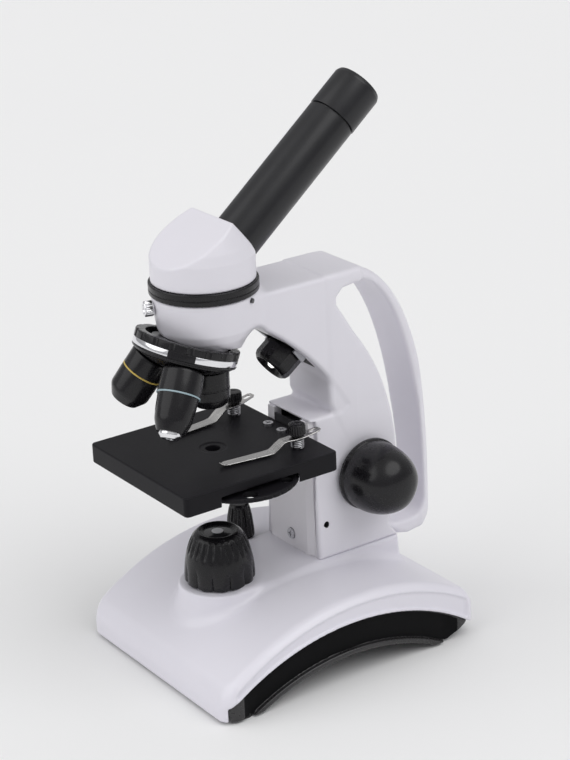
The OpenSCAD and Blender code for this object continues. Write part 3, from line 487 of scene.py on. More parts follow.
def soften(profile, closed):
    """A profile of (radius, height, rounding) with each rounded corner as a short curve."""
    out = []
    n = len(profile)
    for i, p in enumerate(profile):
        f = p[2] if len(p) > 2 else 0
        if not f or (not closed and i in (0, n - 1)):
            out.append((p[0], p[1]))
            continue
        c = np.array(p[:2], float)
        a, b = np.array(profile[i - 1][:2], float), np.array(profile[(i + 1) % n][:2], float)
        la, lb = np.linalg.norm(a - c), np.linalg.norm(b - c)
        d = min(f, 0.48 * la, 0.48 * lb)
        s, e = c + (a - c) * d / la, c + (b - c) * d / lb
        for t in np.linspace(0, 1, 6):
            q = (1 - t) ** 2 * s + 2 * (1 - t) * t * c + t * t * e
            out.append((q[0], q[1]))
    return out


def lathe(name, profile, matrix, segs=96, shape=None, closed=False, sharp=40, sweep=None):
    """A profile turned about Z, whose radius shape(angle, height, radius) may change."""
    pts = np.array(soften(profile, closed))
    full = sweep is None
    ang = (np.linspace(0, 2 * math.pi, segs, endpoint=False) if full
           else np.radians(np.linspace(sweep[0], sweep[1], segs)))
    r = np.repeat(pts[:, :1], segs, axis=1)
    z = np.repeat(pts[:, 1:], segs, axis=1)
    if shape:
        r = np.where(r > 1e-4, shape(np.broadcast_to(ang, r.shape), z, r), r)
    co = np.stack([r * np.cos(ang), r * np.sin(ang), z], axis=2).reshape(-1, 3)
    faces = []
    n = len(pts)
    for i in range(n if closed else n - 1):
        k = (i + 1) % n
        for j in range(segs if full else segs - 1):
            l = (j + 1) % segs
            a, b, c, d = i * segs + j, i * segs + l, k * segs + l, k * segs + j
            if pts[i, 0] < 1e-4:
                faces.append((i * segs, c, d))
            elif pts[k, 0] < 1e-4:
                faces.append((a, b, k * segs))
            else:
                faces.append((a, b, c, d))
    if not full:
        faces.append([i * segs for i in range(n)])
        faces.append([i * segs + segs - 1 for i in reversed(range(n))])
    o = mesh_object(name, co, faces, matrix)
    me = o.data
    bm = bmesh.new()
    bm.from_mesh(me)
    bmesh.ops.delete(bm, geom=[v for v in bm.verts if not v.link_faces], context="VERTS")
    bm.to_mesh(me)
    bm.free()
    me.set_sharp_from_angle(angle=math.radians(sharp))
    return o


def coil(name, radius, wire, z0, z1, turns, matrix):
    n, m = int(turns * 40), 10
    t = np.linspace(0, 1, n)
    a = t * turns * 2 * math.pi
    b = np.linspace(0, 2 * math.pi, m, endpoint=False)
    r = radius + wire * np.cos(b)[None, :]
    z = (z0 + (z1 - z0) * t)[:, None] + wire * np.sin(b)[None, :]
    co = np.stack([r * np.cos(a)[:, None], r * np.sin(a)[:, None], z], axis=2).reshape(-1, 3)
    faces = [(i * m + j, (i + 1) * m + j, (i + 1) * m + (j + 1) % m, i * m + (j + 1) % m)
             for i in range(n - 1) for j in range(m)]
    faces.append([j for j in range(m)])
    faces.append([(n - 1) * m + j for j in reversed(range(m))])
    return mesh_object(name, co, faces, matrix)


def ridges(count, depth, lo=-1e9, hi=1e9, power=1.0, blend=0.6):
    """Grooves round a turned piece between two heights."""
    def shape(a, z, r):
        w = np.clip((z - lo) / blend, 0, 1) * np.clip((hi - z) / blend, 0, 1)
        return r - depth * w * (0.5 - 0.5 * np.cos(a * count)) ** power
    return shape


# ---------------------------------------------------------------- base

# The arched top, and the lower arch that cuts the moulding's skirt, as circles seen from the side.
ARCH_R = 134
ARCH_AT = (42, 45.5 - ARCH_R)
SKIRT_R = 130
SKIRT_AT = (36, -97)
CHANNEL_MID = 37
CHANNEL_HALF = 68


def arch_body(g, inset):
    """The arched moulding, drawn smaller all round by an inset."""
    arch = g.rod(ARCH_AT, ARCH_R - inset, axis=0)
    plan = round_rect(g.x, g.y - BASE_MID, BASE_HALF[0] - inset, BASE_HALF[1] - inset, 9 - inset)
    return both(arch, plan, 6.5 - inset)


def spine_body(g, inset):
    """The raised pad under the arm, drawn smaller all round by an inset."""
    side = g.side([(-40, 0), (-40, 20), (-24, 44.5 - inset), (22, 44.5 - inset), (46.7, 48.5 - inset),
                   (97.5 - inset, 48.5 - inset), (99.5 - inset, 30), (99, 0)])
    plan = g.plan([(-20.5 + inset, 0), (20.5 - inset, 0), (24.6 - inset, 46.7), (24.6 - inset, 99.5),
                   (-24.6 + inset, 99.5), (-24.6 + inset, 46.7)])
    return both(side, plan, 2.6 - inset / 2)


# Top moulding: a shell with the lamp's boss, four foot posts and a recessed band along each side.
g = node_grid("base_shell", 0.7)
skirt = g.rod(SKIRT_AT, SKIRT_R, axis=0)
shell = join(arch_body(g, 0), spine_body(g, 0), 4.5)
boss = both(g.spun([(0, 20), (25, 20), (21.3, BOSS_TOP), (0, BOSS_TOP)]), g.z - BOSS_TOP, 1.4)
shell = join(shell, boss, 4.0)
hollow = join(arch_body(g, 3), spine_body(g, 3), 0)
hollow = join(hollow, g.spun([(0, 24), (20.9, 24), (18.2, 41), (0, 41)]), 0)
for foot in FEET:
    hollow = cut(hollow, g.rod(foot, 5))
shell = cut(shell, hollow)
shell = cut(shell, both(skirt, both(-39.05 - g.y, g.y - 114.05)), 0.5)
shell = both(shell, np.where(g.y < 40, 1.8, 8.0) - g.z, 0.6)
for at, r in (((0, 0), 8), ((DIAL_X, DIAL_Y), 4), ((0, BOLTS_Y[0]), 2.2), ((0, BOLTS_Y[1]), 2.2)):
    shell = cut(shell, both(g.rod(at, r), 30 - g.z), 0.4)
shell = cut(shell, both(g.rod((-28, 15), 3.5, axis=1), 104 - g.y), 0.3)
wall = both(both(1.3 - skirt, g.rod(ARCH_AT, ARCH_R, axis=0) + 4.2, 1.5), 64.5 - abs(g.x))
wall = both(wall, abs(g.y - BASE_MID) - 73, 2.0)
shell = cut(shell, wall, 0.4)
dress(surface("base_top", g, shell), "stand", "shell_white", M["shell_white"], "base_shell")

# Bottom moulding: a tray under the same arch, with a channel along each side and room for the
# battery cover and the feet.
g = node_grid("base_plate", 0.7)
skirt = g.rod(SKIRT_AT, SKIRT_R - 0.05, axis=0)
sole = g.rod((35.5, -106), 119.7, axis=0)
side = g.side([(-38.9, 4), (-35, 0), (97, 0), (112, 9.5), (113.9, 12), (113.9, 40), (-38.9, 40)])
plate = both(both(skirt, side, 0.5), round_rect(g.x, g.y - BASE_MID, 64.5, 78, 7.5), 0.7)
plate = both(plate, 1 - g.z, 0.8)
plate = cut(plate, sole, 1.6)
room = both(both(abs(g.x) - 60, abs(g.y - BASE_MID) - 73), 3.4 - g.z)
room = both(room, 2.6 - sole)
room = both(room, -g.side([(98, 0), (114, 0), (114, 14), (106, 9.6), (98, 5)]))
plate = cut(plate, room)
groove = both(both(skirt + 0.95, 3.4 - sole, 1.0), abs(g.y - CHANNEL_MID) - CHANNEL_HALF)
runout = 2.4 * np.clip((abs(g.y - CHANNEL_MID) - CHANNEL_HALF + 11) / 11, 0, 1) ** 2
plate = cut(plate, both(groove, 62.1 + runout - abs(g.x)), 0.4)
plate = cut(plate, g.box((-21, 14, -10), (21, 57, 20)))
plate = cut(plate, both(abs(g.x) - 24.2, both(sole - 1.7, abs(g.y - 35.5) - 24.2)))
for fx, fy in FEET:
    plate = cut(plate, both(round_rect(g.x - fx, g.y - fy, 12.5, 4.2, 4), g.z - 1.8))
    plate = cut(plate, g.rod((fx, fy), 1.5))
    plate = cut(plate, both(g.rod((fx, fy), 3.0), g.z - 2.4))
under = dress(surface("base_under", g, plate), "stand", "base_black", M["base_black"], "base_plate")
# The channel's inner wall gets near-black painted shade, darker than the rest of the tray.
second_material(under, PAINTED_RECESS_SHADE, lambda x, y, z, n: (
    (abs(x) < 64.1) & (abs(x) > 61.5) & (abs(n[:, 0]) > 0.7) & (abs(y - CHANNEL_MID) < CHANNEL_HALF)))

# ---------------------------------------------------------------- arm

# Seen from the side: the column with its curved arm, the handle behind it and the gap between.
ARM = ([(46.7, 48.5), (46.7, 125), (67.5, 125)] + arc(-56.4, 56.6, 145.8, 29.3, 57, 20)
       + arc(13, 172, 12.2, 42, 155, 8)
       + [(-4, 178), (-4, 198.8), (82, 198.8), (82, 186), (66.2, 186)]
       + arc(-4.4, 99, 105.2, 40, -24, 30) + [(97.5, 48.5)])
HANDLE = ([(70, 198.8)] + curve((82, 198.8), (117.4, 186.4), (129.9, 126.5), (129.9, 62), 28)
          + arc(119.4, 51.5, 10.5, 0, -75, 8)
          + [(112, 40.6), (105, 42.5), (96, 49), (90, 60), (60, 130), (60, 198.8)])
WINDOW = (curve((123.9, 62), (123.9, 114.1), (109.8, 194.2), (77, 191.6), 28)
          + [(70, 190.6), (66.6, 187), (66.2, 182.6)] + arc(-4.4, 99, 105.2, 38, -21, 28)
          + [(96.5, 55.5), (99.5, 51.8), (104, 50), (112, 49.4)]
          + arc(114.9, 58.4, 9, -80, 0, 8))

g = node_grid("arm_casting", 0.62)
half = np.interp(g.axes[2], [48.5, 125], [24.6, 19]).astype(np.float32)[None, None, :]
column = both(g.side(ARM), abs(g.x) - half, 2.2)
window = g.side(WINDOW)
bar = both(both(g.side(HANDLE), -window, 1.0), g.plan(
    [(-19, 50), (19, 50), (19, 76), (14.9, 98), (13.5, 122), (10, 129.9), (-10, 129.9),
     (-13.5, 122), (-14.9, 98), (-19, 76)]), 2.7)
arm = cut(join(column, bar, 2.0), window, 2.0)

# The collar under the head, cut off and hollowed square to the nosepiece's axis.
axis_z = g.y * math.sin(NOSE_TILT) + (g.z - APEX) * math.cos(NOSE_TILT)
collar = g.spun([(0, 165), (14, 165), (17, 171), (20, 176.4), (22.6, 180), (24.2, 184), (25, 190),
                 (26, 198), (26.3, COLLAR_TOP), (0, COLLAR_TOP)])
off_axis = np.sqrt(g.x ** 2 + (g.y * math.cos(NOSE_TILT) - (g.z - APEX) * math.sin(NOSE_TILT)) ** 2)
collar = both(both(collar, g.z - COLLAR_TOP, 0.5), -32 - axis_z, 0.8)
collar = cut(collar, both(axis_z + 29, 20.3 - off_axis), 0.5)
arm = join(arm, collar, 5.0)
arm = both(arm, g.z - COLLAR_TOP)

# Bores for the head and the light, the column's hollow, the slots for the stage and the front
# plate, and the holes for the shaft, the bolts and the screws.
arm = cut(arm, both(g.rod((0, 0), 22), 192.5 - g.z), 0.3)
arm = cut(arm, both(g.rod((0, 0), 8), 150 - g.z))
arm = cut(arm, g.box((-15, 40, 58), (15, 92, 115)))
arm = cut(arm, g.box((-11.5, 40, 62), (11.5, 57.7, 123.6)), 0.4)
arm = cut(arm, g.box((-20.4, 40, 40), (20.4, 50.2, 123.6)), 0.3)
arm = cut(arm, g.rod((SHAFT_Y, SHAFT_Z), 6, axis=0), 0.4)
for cy in BOLTS_Y:
    arm = cut(arm, both(g.rod((0, cy), 1.9), g.z - 56.5))
arm = cut(arm, both(g.rod((0, 56), 1.5, axis=1), abs(g.y - 53) - 6))
arm = cut(arm, both(g.rod((SIDE_HOLE_Y, SIDE_HOLE_Z), 1.5, axis=0), 17 - g.x), 0.2)

# The pocket that the upper lamp tilts in.
lz, ly = lamp_axes(g.y, g.z)
pocket = both(np.sqrt(g.x ** 2 + ly ** 2) - 11.9, abs(lz - 14.7) - 6.7)
pocket = join(pocket, both(both(abs(g.x) - 12.9, abs(ly) - 4.2), abs(lz - 14.2) - 6.2))
pocket = join(pocket, both(np.sqrt(g.x ** 2 + ly ** 2) - 4, abs(lz - 16) - 8))
arm = cut(arm, pocket, 0.4)
for height, azimuth, r in ((LOCK_Z, LOCK_AZIMUTH, 1.55), (STOP_Z, STOP_AZIMUTH, 1.2)):
    along = g.x * math.cos(math.radians(azimuth)) + g.y * math.sin(math.radians(azimuth))
    across = np.sqrt(np.maximum(g.x ** 2 + g.y ** 2 - along ** 2, 0) + (g.z - height) ** 2)
    arm = cut(arm, both(across - r, 20 - along))
arm_piece = dress(surface("arm_body", g, arm), "stand", "white_casting", M["white_casting"],
                  "arm_casting")


# Faces in the column's hollow, the upper lamp's pocket and the side hole, which get painted shade.
def painted_shade_inside(x, y, z, n):
    along, across = lamp_axes(y, z)
    column_hollow = (abs(x) < 15.4) & (y < 92.4) & (y > 47.6) & (z > 57.6) & (z < 123.9)
    lamp_pocket = (x ** 2 < 170) & (abs(along - 14.6) < 7.2) & (abs(across) < 12.2)
    side_hole = (x > 17) & ((y - SIDE_HOLE_Y) ** 2 + (z - SIDE_HOLE_Z) ** 2 < 2.7)
    return column_hollow | lamp_pocket | side_hole


second_material(arm_piece, HOLLOW_SHADE, painted_shade_inside)

# ---------------------------------------------------------------- head and eyepiece

# Distances along the tube from the apex, across it, and in front of the head's sloping face.
g = node_grid("head_housing", 0.5)
roof = g.y * math.cos(TUBE_TILT) + (g.z - APEX) * math.sin(TUBE_TILT)
ROOF = 7 * math.cos(TUBE_TILT) + 31.2 * math.sin(TUBE_TILT)
front = -(g.y - 7) * math.sin(math.radians(31)) + (g.z - 238) * math.cos(math.radians(31))
tube_r = np.sqrt(g.x ** 2 + ((g.z - APEX) * math.cos(TUBE_TILT) - g.y * math.sin(TUBE_TILT)) ** 2)


def head_body(inset, soft):
    """The round housing with its two slopes, drawn smaller all round by an inset."""
    r = 26 - inset
    d = g.spun([(0, 195), (r, 195), (r, 220.3), (r - 1.2, 225.3), (r - 7.6, 240.3), (0, 240.3)])
    d = both(d, HEAD_FOOT - g.z, soft)
    d = both(d, front + inset, soft)
    return both(d, roof - ROOF + inset, soft)


socket = both(both(tube_r - 13.3, abs(roof - ROOF + 7) - 7, 0.5), HEAD_FOOT - g.z)
head = join(head_body(0, 0.9), socket, 0.8)
inner = cut(head_body(2.4, 0), both(tube_r - 15.1, 14 - roof))
head = cut(head, inner)
head = cut(head, both(tube_r - 12.7, ROOF - 9 - roof), 0.2)
head = cut(head, both(tube_r - 10, 6 - roof))
head = cut(head, both(g.rod((0, 0), 23.6), g.z - HEAD_FOOT - 1))
dress(surface("head_body", g, head), "head", slot_of["head_housing"], M["white_casting"], "head_housing")

# Ring under the head, with a groove round it, and the tube, whose top is bored for the eyepiece.
ring = [(21.5, 201.5), (27.3, 201.5, 0.7), (27.3, 203.7, 0.15), (26.95, 203.9, 0.1),
        (26.95, 204.2, 0.1), (27.3, 204.4, 0.15), (27.3, HEAD_FOOT, 0.7), (21.5, HEAD_FOOT)]
dress(lathe("head_ring_piece", ring, Matrix.Identity(4), 160, closed=True), "head",
      slot_of["head_ring"], M["knob_black"], "head_ring")
tube_foot = ROOF - 9
tube = [(10.4, tube_foot), (12.7, tube_foot), (12.7, 103.1, 0.4), (12.2, 103.3, 0.1), (11.65, 103.3),
        (11.65, 70), (10.4, 70)]
dress(lathe("tube_piece", tube, ON_TUBE, 128, closed=True), "head", slot_of["eyepiece_tube"], TUBE,
      "eyepiece_tube")

# Eyepiece: a cap with a rounded rim and a hollow round the eye lens, and the thumbscrew that
# locks the head.
cap = [(0, 3), (10, 3), (10, 0.4), (12.0, 0.15), (13.0, 0.4, 0.3), (13.0, 20.4, 0.5), (12.05, 22.5, 0.5),
       (11.1, 22.8, 0.3), (9.2, 22.7, 0.5), (6.6, 20.4, 0.6), (5.6, 19.6), (5.5, 18.0), (5.5, 10), (0, 10)]
dress(lathe("eyepiece_cap_piece", cap, ON_TUBE @ T((0, 0, CAP_FOOT)), 128), "eyepiece",
      slot_of["eyepiece_cap"], TUBE, "eyepiece_cap")
dress(lathe("eye_lens_piece", [(0, 120.5), (5.4, 120.5), (5.4, 121.6, 0.2), (4.2, 122.2), (2.4, 122.7),
                               (0, 122.9)], ON_TUBE, 64), "eyepiece", slot_of["eye_lens"],
      M["optic_glass"], "eye_lens")
lock = [(0, 22.25), (1.5, 22.25), (1.5, 26.1), (3.5, 26.1, 0.3), (3.9, 26.6, 0.3), (3.9, 30.2, 0.4),
        (3.4, 30.9, 0.3), (2.3, 30.8, 0.2), (2.1, 30.3), (0, 30.2)]
dress(lathe("lock_screw_piece", lock, ON_LOCK, 144, ridges(24, 0.35, 26.4, 30.4, blend=0.3)), "head_lock",
      slot_of["head_lock_screw"], M["chrome_part"], "head_lock_screw")

# ---------------------------------------------------------------- nosepiece

# The turret is a bowl, round the point where its axis meets the optical axis.
sphere = [(r, -math.sqrt(OBJECTIVE_REACH ** 2 - r * r)) for r in (7.0, 12, 17, 21, 24.8)]
bowl = [(r, -math.sqrt(43.8 * 43.8 - r * r)) for r in (23.0, 18, 12, 7.0)]


def notched(a, z, r):
    """Eighteen finger notches round the rim."""
    w = np.clip((z + 34.6) / 0.4, 0, 1) * (r > 24)
    c = 0.5 + 0.5 * np.cos(18 * (a - math.radians(10)))
    return r - 0.8 * w * np.clip((c - 0.72) / 0.28, 0, 1) ** 0.6


shell_profile = sphere + [(25.0, -39.2), (26.4, -38.9, 0.4), (26.4, -37.7, 0.3), (25.6, -37.65),
                          (25.6, -34.35), (26.4, -34.3, 0.2), (26.4, -32.0, 0.1), (26.4, -30.5, 0.8),
                          (21.6, -30.5, 0.4), (21.6, -33.5), (4.05, -33.5), (4.05, -35.7),
                          (23, -35.7)] + bowl
dress(lathe("turret_body", shell_profile, ON_TURRET, 288, notched, closed=True), "turret",
      slot_of["turret_shell"], M["knob_black"], "turret_shell")

# The bright band round the turret, and three lugs that lie over it.
dress(lathe("turret_band", [(25.6, -37.65), (26.5, -37.65, 0.35), (26.65, -36.0, 0.5),
                            (26.5, -34.35, 0.35), (25.6, -34.35)], ON_TURRET, 192, closed=True),
      "turret", slot_of["turret_rim"], M["chrome_part"], "turret_rim")
for k in range(3):
    mid = 90 + 120 * k - 8
    dress(lathe("turret_lug_%d" % k, [(25.9, -37.7), (26.7, -37.7, 0.25), (26.7, -34.3, 0.25),
                                      (25.9, -34.3)], ON_TURRET, 24, closed=True,
                sweep=(mid - 15, mid + 15)), "turret", slot_of["turret_shell"], M["knob_black"])


def objective(name, profile, k, shape=None):
    """An objective whose profile hangs down from the shoulder on the turret."""
    pts = [(p[0], p[1] - OBJECTIVE_REACH) + tuple(p[2:]) for p in profile]
    return lathe(name, pts, on_objective(k), 120, shape)


def knurl(a, z, r):
    """Fine grooves round the top of an objective."""
    top = z + OBJECTIVE_REACH
    w = np.clip((top + 5.2) / 0.3, 0, 1) * np.clip((-1.3 - top) / 0.3, 0, 1)
    return r - 0.16 * w * (0.5 + 0.5 * np.cos(60 * a))


dress(objective("objective_4x", [
    (0, -18.2), (4.4, -18.2), (4.6, -19), (7.3, -19, 0.4), (8.8, -17.9, 0.7), (10.2, -14.6, 0.8),
    (10.3, -9.6, 0.1), (10.05, -9.4), (10.05, -8.9), (10.3, -8.7, 0.1), (10.3, -5.4), (10.3, -1.0, 0.3),
    (10.2, 0, 0.3), (6, 0), (6, 4), (0, 4)], 0, knurl), "turret", slot_of["objective_low"],
    M["knob_black"], "objective_low")
dress(objective("objective_10x", [
    (0, -26.7), (4, -26.7), (4.2, -27.5), (6.6, -27.5, 0.4), (7.2, -27.1, 0.4), (10.45, -22.1, 1.4),
    (10.6, -15.0), (10.6, -10.4, 0.1), (10.3, -10.3), (10.3, -9.5), (10.6, -9.4, 0.1), (10.6, -5.6),
    (10.6, -1, 0.3), (10.3, 0, 0.3), (6, 0), (6, 4), (0, 4)], 1, knurl), "turret",
    slot_of["objective_mid"], M["knob_black"], "objective_mid")
dress(objective("objective_40x", [
    (5.65, -9.2), (5.65, -31.0), (7, -31.0, 0.4), (9.1, -25.5, 1.2), (9.8, -20.0, 1), (10.15, -13.4),
    (10.15, -12.8), (10.4, -12.6), (10.4, -11.8), (10.75, -11.7, 0.1), (10.6, -5.6), (10.4, -1, 0.3),
    (10.0, 0, 0.3), (6, 0), (6, 4), (0, 4)], 2, knurl), "turret", slot_of["objective_high"],
    M["knob_black"], "objective_high")

# Colour bands, front lenses and the sprung nose of the longest objective.
dress(lathe("band_10x", [(10.3, -57.3), (10.66, -57.3, 0.1), (10.66, -56.5, 0.1), (10.3, -56.5)],
            on_objective(1), 120, closed=True), "turret", slot_of["objective_bands"],
      M["band_paint"], "objective_bands")
dress(lathe("band_40x", [(10.4, -59.6), (10.85, -59.6, 0.1), (10.85, -58.8, 0.1), (10.4, -58.8)],
            on_objective(2), 120, closed=True), "turret", slot_of["objective_bands"], PALE_BAND)
dress(lathe("lens_4x", [(0, -65.1), (2.4, -64.9), (4.4, -64.4), (4.4, -62.8), (0, -62.8)],
            on_objective(0), 64), "turret", slot_of["objective_lenses"], M["optic_glass"],
      "objective_lenses")
dress(lathe("lens_10x", [(0, -73.8), (2.2, -73.6), (4, -73.1), (4, -71.7), (0, -71.7)],
            on_objective(1), 64), "turret", slot_of["objective_lenses"], M["optic_glass"])
dress(lathe("nose_40x", [(2.0, -80.9), (4.2, -81, 0.3), (5.6, -79.3, 0.4), (5.6, -69.2, 0.2),
                         (2.0, -69)], on_objective(2), 96, closed=True), "sprung_nose",
      slot_of["high_nose"], M["chrome_part"], "high_nose")
dress(lathe("lens_40x", [(0, -80.7), (2, -80.6), (2, -79.1), (0, -79.1)], on_objective(2), 48),
      "sprung_nose", slot_of["high_front_lens"], M["optic_glass"], "high_front_lens")

# The spring rides on the turret, with a mesh of its own.
sprung = dress(coil("nose_coil", 4.9, 0.38, -68.4, -59.8, 6, on_objective(2)), "turret",
               slot_of["nose_spring"], M["steel_part"], "nose_spring")
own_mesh(sprung)

# ---------------------------------------------------------------- stage

# Stage: hollow below, with room for the disc, a ring round the light hole and the disc's pivot.
g = node_grid("stage_plate", 0.42)
deck = both(round_rect(g.x, g.y, 45, 45, 2.5), abs(g.z - DECK_TOP + 5.1) - 5.1, 0.6)
deck = cut(deck, both(round_rect(g.x, g.y, 42, 42, 2), g.z - 114.3))
deck = cut(deck, g.box((30, -24.5, 100), (60, 18.5, 112.7)), 0.3)
deck = cut(deck, both(g.rod((DISC_X, 0), 29.7), g.z - 112.7))
deck = join(deck, both(g.rod((0, 0), 5.6), abs(g.z - 113) - 2.3))
deck = cut(deck, g.rod((0, 0), 3.8), 0.2)
deck = cut(deck, both(g.rod((0, 0), 6.8), 117 - g.z), 0.1)
deck = cut(deck, both(g.rod((DISC_X, 0), 1.5), g.z - 116.5))
deck = cut(deck, g.box((-11, 41.9, 100), (11, 60, 111.9)))
for sx in (-CLIP_X, CLIP_X):
    deck = cut(deck, g.rod((sx, CLIP_Y), 1.55), 0.2)
for sx in (-6, 6):
    deck = cut(deck, g.rod((sx, 38), 1.4))
dress(surface("stage_deck", g, deck), "stage", "stage_black", M["stage_black"], "stage_plate")

# Disc: six openings from large to small, which pass over the optical axis as the disc turns. It is
# thinned from above round each, and has a finger notch at every 10 degrees.
DISC_R = 29.2
LOW = 107.4
g = node_grid("filter_disc", 0.34)
from_pin = np.sqrt((g.x - DISC_X) ** 2 + g.y ** 2)
angle = np.degrees(np.arctan2(g.y, g.x - DISC_X))
disc = g.spun([(0, LOW - 0.5), (6, LOW - 0.5), (10, LOW), (27.2, LOW), (DISC_R, LOW + 0.6),
               (DISC_R, LOW + 2.2), (28.2, LOW + 2.8), (14, LOW + 2.8), (12, LOW + 3.4),
               (0, LOW + 3.4)], DISC_X, 0)
disc = cut(disc, g.rod((DISC_X, 0), 1.55))
for i in range(6):
    a = math.radians(158 + 60 * i)
    hole = (DISC_X + DISC_X * math.cos(a), DISC_X * math.sin(a))
    disc = cut(disc, both(g.rod(hole, 4.9 - 0.4 * i), LOW + 0.8 - g.z), 0.2)
    disc = cut(disc, g.rod(hole, 3.8 - 0.4 * i), 0.1)
beside = np.abs((angle + 5) % 10 - 5) * np.radians(1) * from_pin
disc = cut(disc, np.sqrt(beside ** 2 + (from_pin - DISC_R - 0.5) ** 2) - 0.9, 0.15)
dress(surface("filter_disc_piece", g, disc), "disc", slot_of["filter_disc"], M["stage_black"],
      "filter_disc")

# Clips: a bent strip on a pin, held up by a spring under its knob. The line is seen from the side.
STRIP = [(-43.2, 2.0), (-42.2, 1.35), (-41.2, 1.25), (-16.0, 1.25), (-14.2, 1.7), (-9.5, 5.2),
         (-7.6, 5.95), (2, 5.95), (8, 6.95), (12.7, 7.75)]

# Half the strip's outline from above, from its tip to its rounded end.
EDGE = [(1.0, -43.4), (2.6, -40.4), (3.3, -12), (2.9, -6), (3.4, -3.4), (3.4, 3), (2.9, 8),
        (2.6, 11.6), (1.4, 13)]


def smooth_line(pts, rounds=2):
    """A line with its corners cut off twice."""
    for _ in range(rounds):
        out = [pts[0]]
        for p, q in zip(pts, pts[1:]):
            out.append((0.75 * p[0] + 0.25 * q[0], 0.75 * p[1] + 0.25 * q[1]))
            out.append((0.25 * p[0] + 0.75 * q[0], 0.25 * p[1] + 0.75 * q[1]))
        out.append(pts[-1])
        pts = out
    return pts


for side, label in SIDES:
    at = on_clip(side)
    g = Grid((-3.4, -43.4, 0.8), (3.4, 13, 8.2), 0.22 * COARSE)
    yy, zz = np.meshgrid(g.axes[1], g.axes[2], indexing="ij")
    strip = (path_distance(smooth_line(STRIP), yy, zz) - 0.35).astype(np.float32)[None]
    plan = g.plan([(-x, y) for x, y in EDGE] + list(reversed(EDGE)))
    strip = both(strip, plan, 0.12)
    strip = cut(strip, g.rod((0, 0), 1.55), 0.1)
    strip = cut(strip, round_rect(g.x, g.y - 9.2, 1.2, 2.2, 1.15), 0.1)
    dress(surface("clip_strip_" + label, g, strip, at), label + "_clip", slot_of["clip_" + label],
          CLIP, "clip_" + label)
    knob = [(0, 6.6), (3.1, 6.6, 0.3), (3.3, 7.3, 0.2), (4.3, 7.8, 0.4), (4.5, 9.0), (4.4, 12.6, 0.5),
            (3.9, 13.3, 0.4), (1.7, 13.4, 0.2), (1.4, 13.2), (0, 13.3)]
    dress(lathe("clip_knob_" + label, knob, at, 160, ridges(20, 0.4, 8.0, 12.9, blend=0.4)),
          label + "_clip", slot_of["clip_%s_post" % label], M["knob_black"], "clip_%s_post" % label)
    pin = [(0, -7), (1.3, -7), (1.5, -6.8), (1.5, 5.2), (1.45, 6.5), (0, 6.5)]
    dress(lathe("clip_pin_" + label, pin, at, 32), label + "_clip", slot_of["clip_%s_post" % label],
          M["steel_part"])
    dress(coil("clip_spring_" + label, 3.0, 0.4, 0.75, 5.0, 4.5, at), label + "_clip",
          slot_of["clip_%s_post" % label], M["steel_part"])

# ---------------------------------------------------------------- knobs and lamps

# Focus knobs, one on each side.
KNOB = [(0, 0), (3, 0), (17.8, 0, 0.4), (19.2, 0.7, 0.4), (19.25, 2.6, 0.5), (18.4, 3.7, 0.3),
        (18.85, 9.0, 3), (18.05, 15.0, 4), (16.4, 20.5, 4), (13.6, 25.0, 4), (9.8, 28.0, 4),
        (4.7, 29.7, 3), (0, 30)]


def facets(a, z, r):
    """Five shallow hollows, which fade towards the knob's foot and its middle."""
    w = np.clip((z - 5) / 5, 0, 1) * np.clip((r - 6) / 8, 0, 1)
    return r - 0.35 * w * (0.5 + 0.5 * np.cos(5 * a + 0.6))


for side, label in SIDES:
    dress(lathe("focus_knob_" + label, KNOB, on_knob(side), 160, facets), "focus",
          slot_of["focus_knobs"], M["knob_black"], "focus_knobs")


def bell(a, z, r):
    """Twelve wide ribs round the foot and finer grooves under the rim."""
    w = np.clip((11.8 - z) / 5.0, 0, 1)
    petal = np.abs(np.cos(6 * a)) ** 0.55
    r = r - (0.25 + 0.95 * w) * w ** 0.5 * (1 - petal) - 0.55 * w * (z < 0.9) * (1 - petal)
    up = np.clip((z - 16.4) / 2.2, 0, 1) * np.clip((25.2 - z) / 1.0, 0, 1)
    return r - 0.8 * up * (0.5 + 0.5 * np.cos(24 * a)) ** 1.5


# Lower lamp: a ribbed bell with a smoked dish, pale in its middle.
BELL = [(0, 0.2), (14.6, 0.2), (17.4, 0, 0.4), (18.15, 0.9), (18.25, 3), (18.2, 4.5), (18.1, 6),
        (17.95, 8), (17.75, 10), (17.4, 12), (17.05, 13.8), (16.7, 15.4), (16.3, 17), (15.85, 18.6),
        (15.3, 20.2), (14.65, 22), (13.95, 23.4), (13.3, 24.7, 0.6), (11.75, 26.4, 0.8),
        (10.4, 27.35, 0.5), (9.7, 27.3, 0.3), (8.7, 26.5, 0.5), (7.5, 26.0), (0, 25.2)]
dress(lathe("lamp_bell", BELL, ON_BOSS, 360, bell), "stand", slot_of["lamp_housing"], M["knob_black"],
      "lamp_housing")
dome = dress(lathe("lamp_dome", [(0, 23.0), (7.4, 23.0), (7.4, 25.4), (7.2, 26.0), (5.6, 26.2),
                                 (3.2, 26.4, 0.1), (3.0, 26.8, 0.2), (0, 27.0)], ON_BOSS, 96), "stand",
             slot_of["lamp_lens"], SMOKE, "lamp_lens")
second_material(dome, PEARL, lambda x, y, z, n: (x ** 2 + y ** 2 < 9.6) & (z > 70.5))

# Brightness knob on its stem.
dial = [(0, 46), (7.1, 46, 0.3), (7.55, 46.8, 0.3), (7.4, 50, 0.6), (6.7, 57, 1), (5.7, 62.3, 0.6),
        (5.1, 64.3, 0.6), (4, 64.95, 0.3), (0, 65)]
dress(lathe("dial_knob", dial, ON_DIAL, 216, ridges(18, 0.6, 46.8, 63.6)), "dial",
      slot_of["brightness_knob"], M["knob_black"], "brightness_knob")
dress(lathe("dial_stem", [(0, 35.2), (2.95, 35.2), (2.95, 46.2), (0, 46.2)], ON_DIAL, 48), "dial",
      slot_of["brightness_knob"], M["steel_part"])


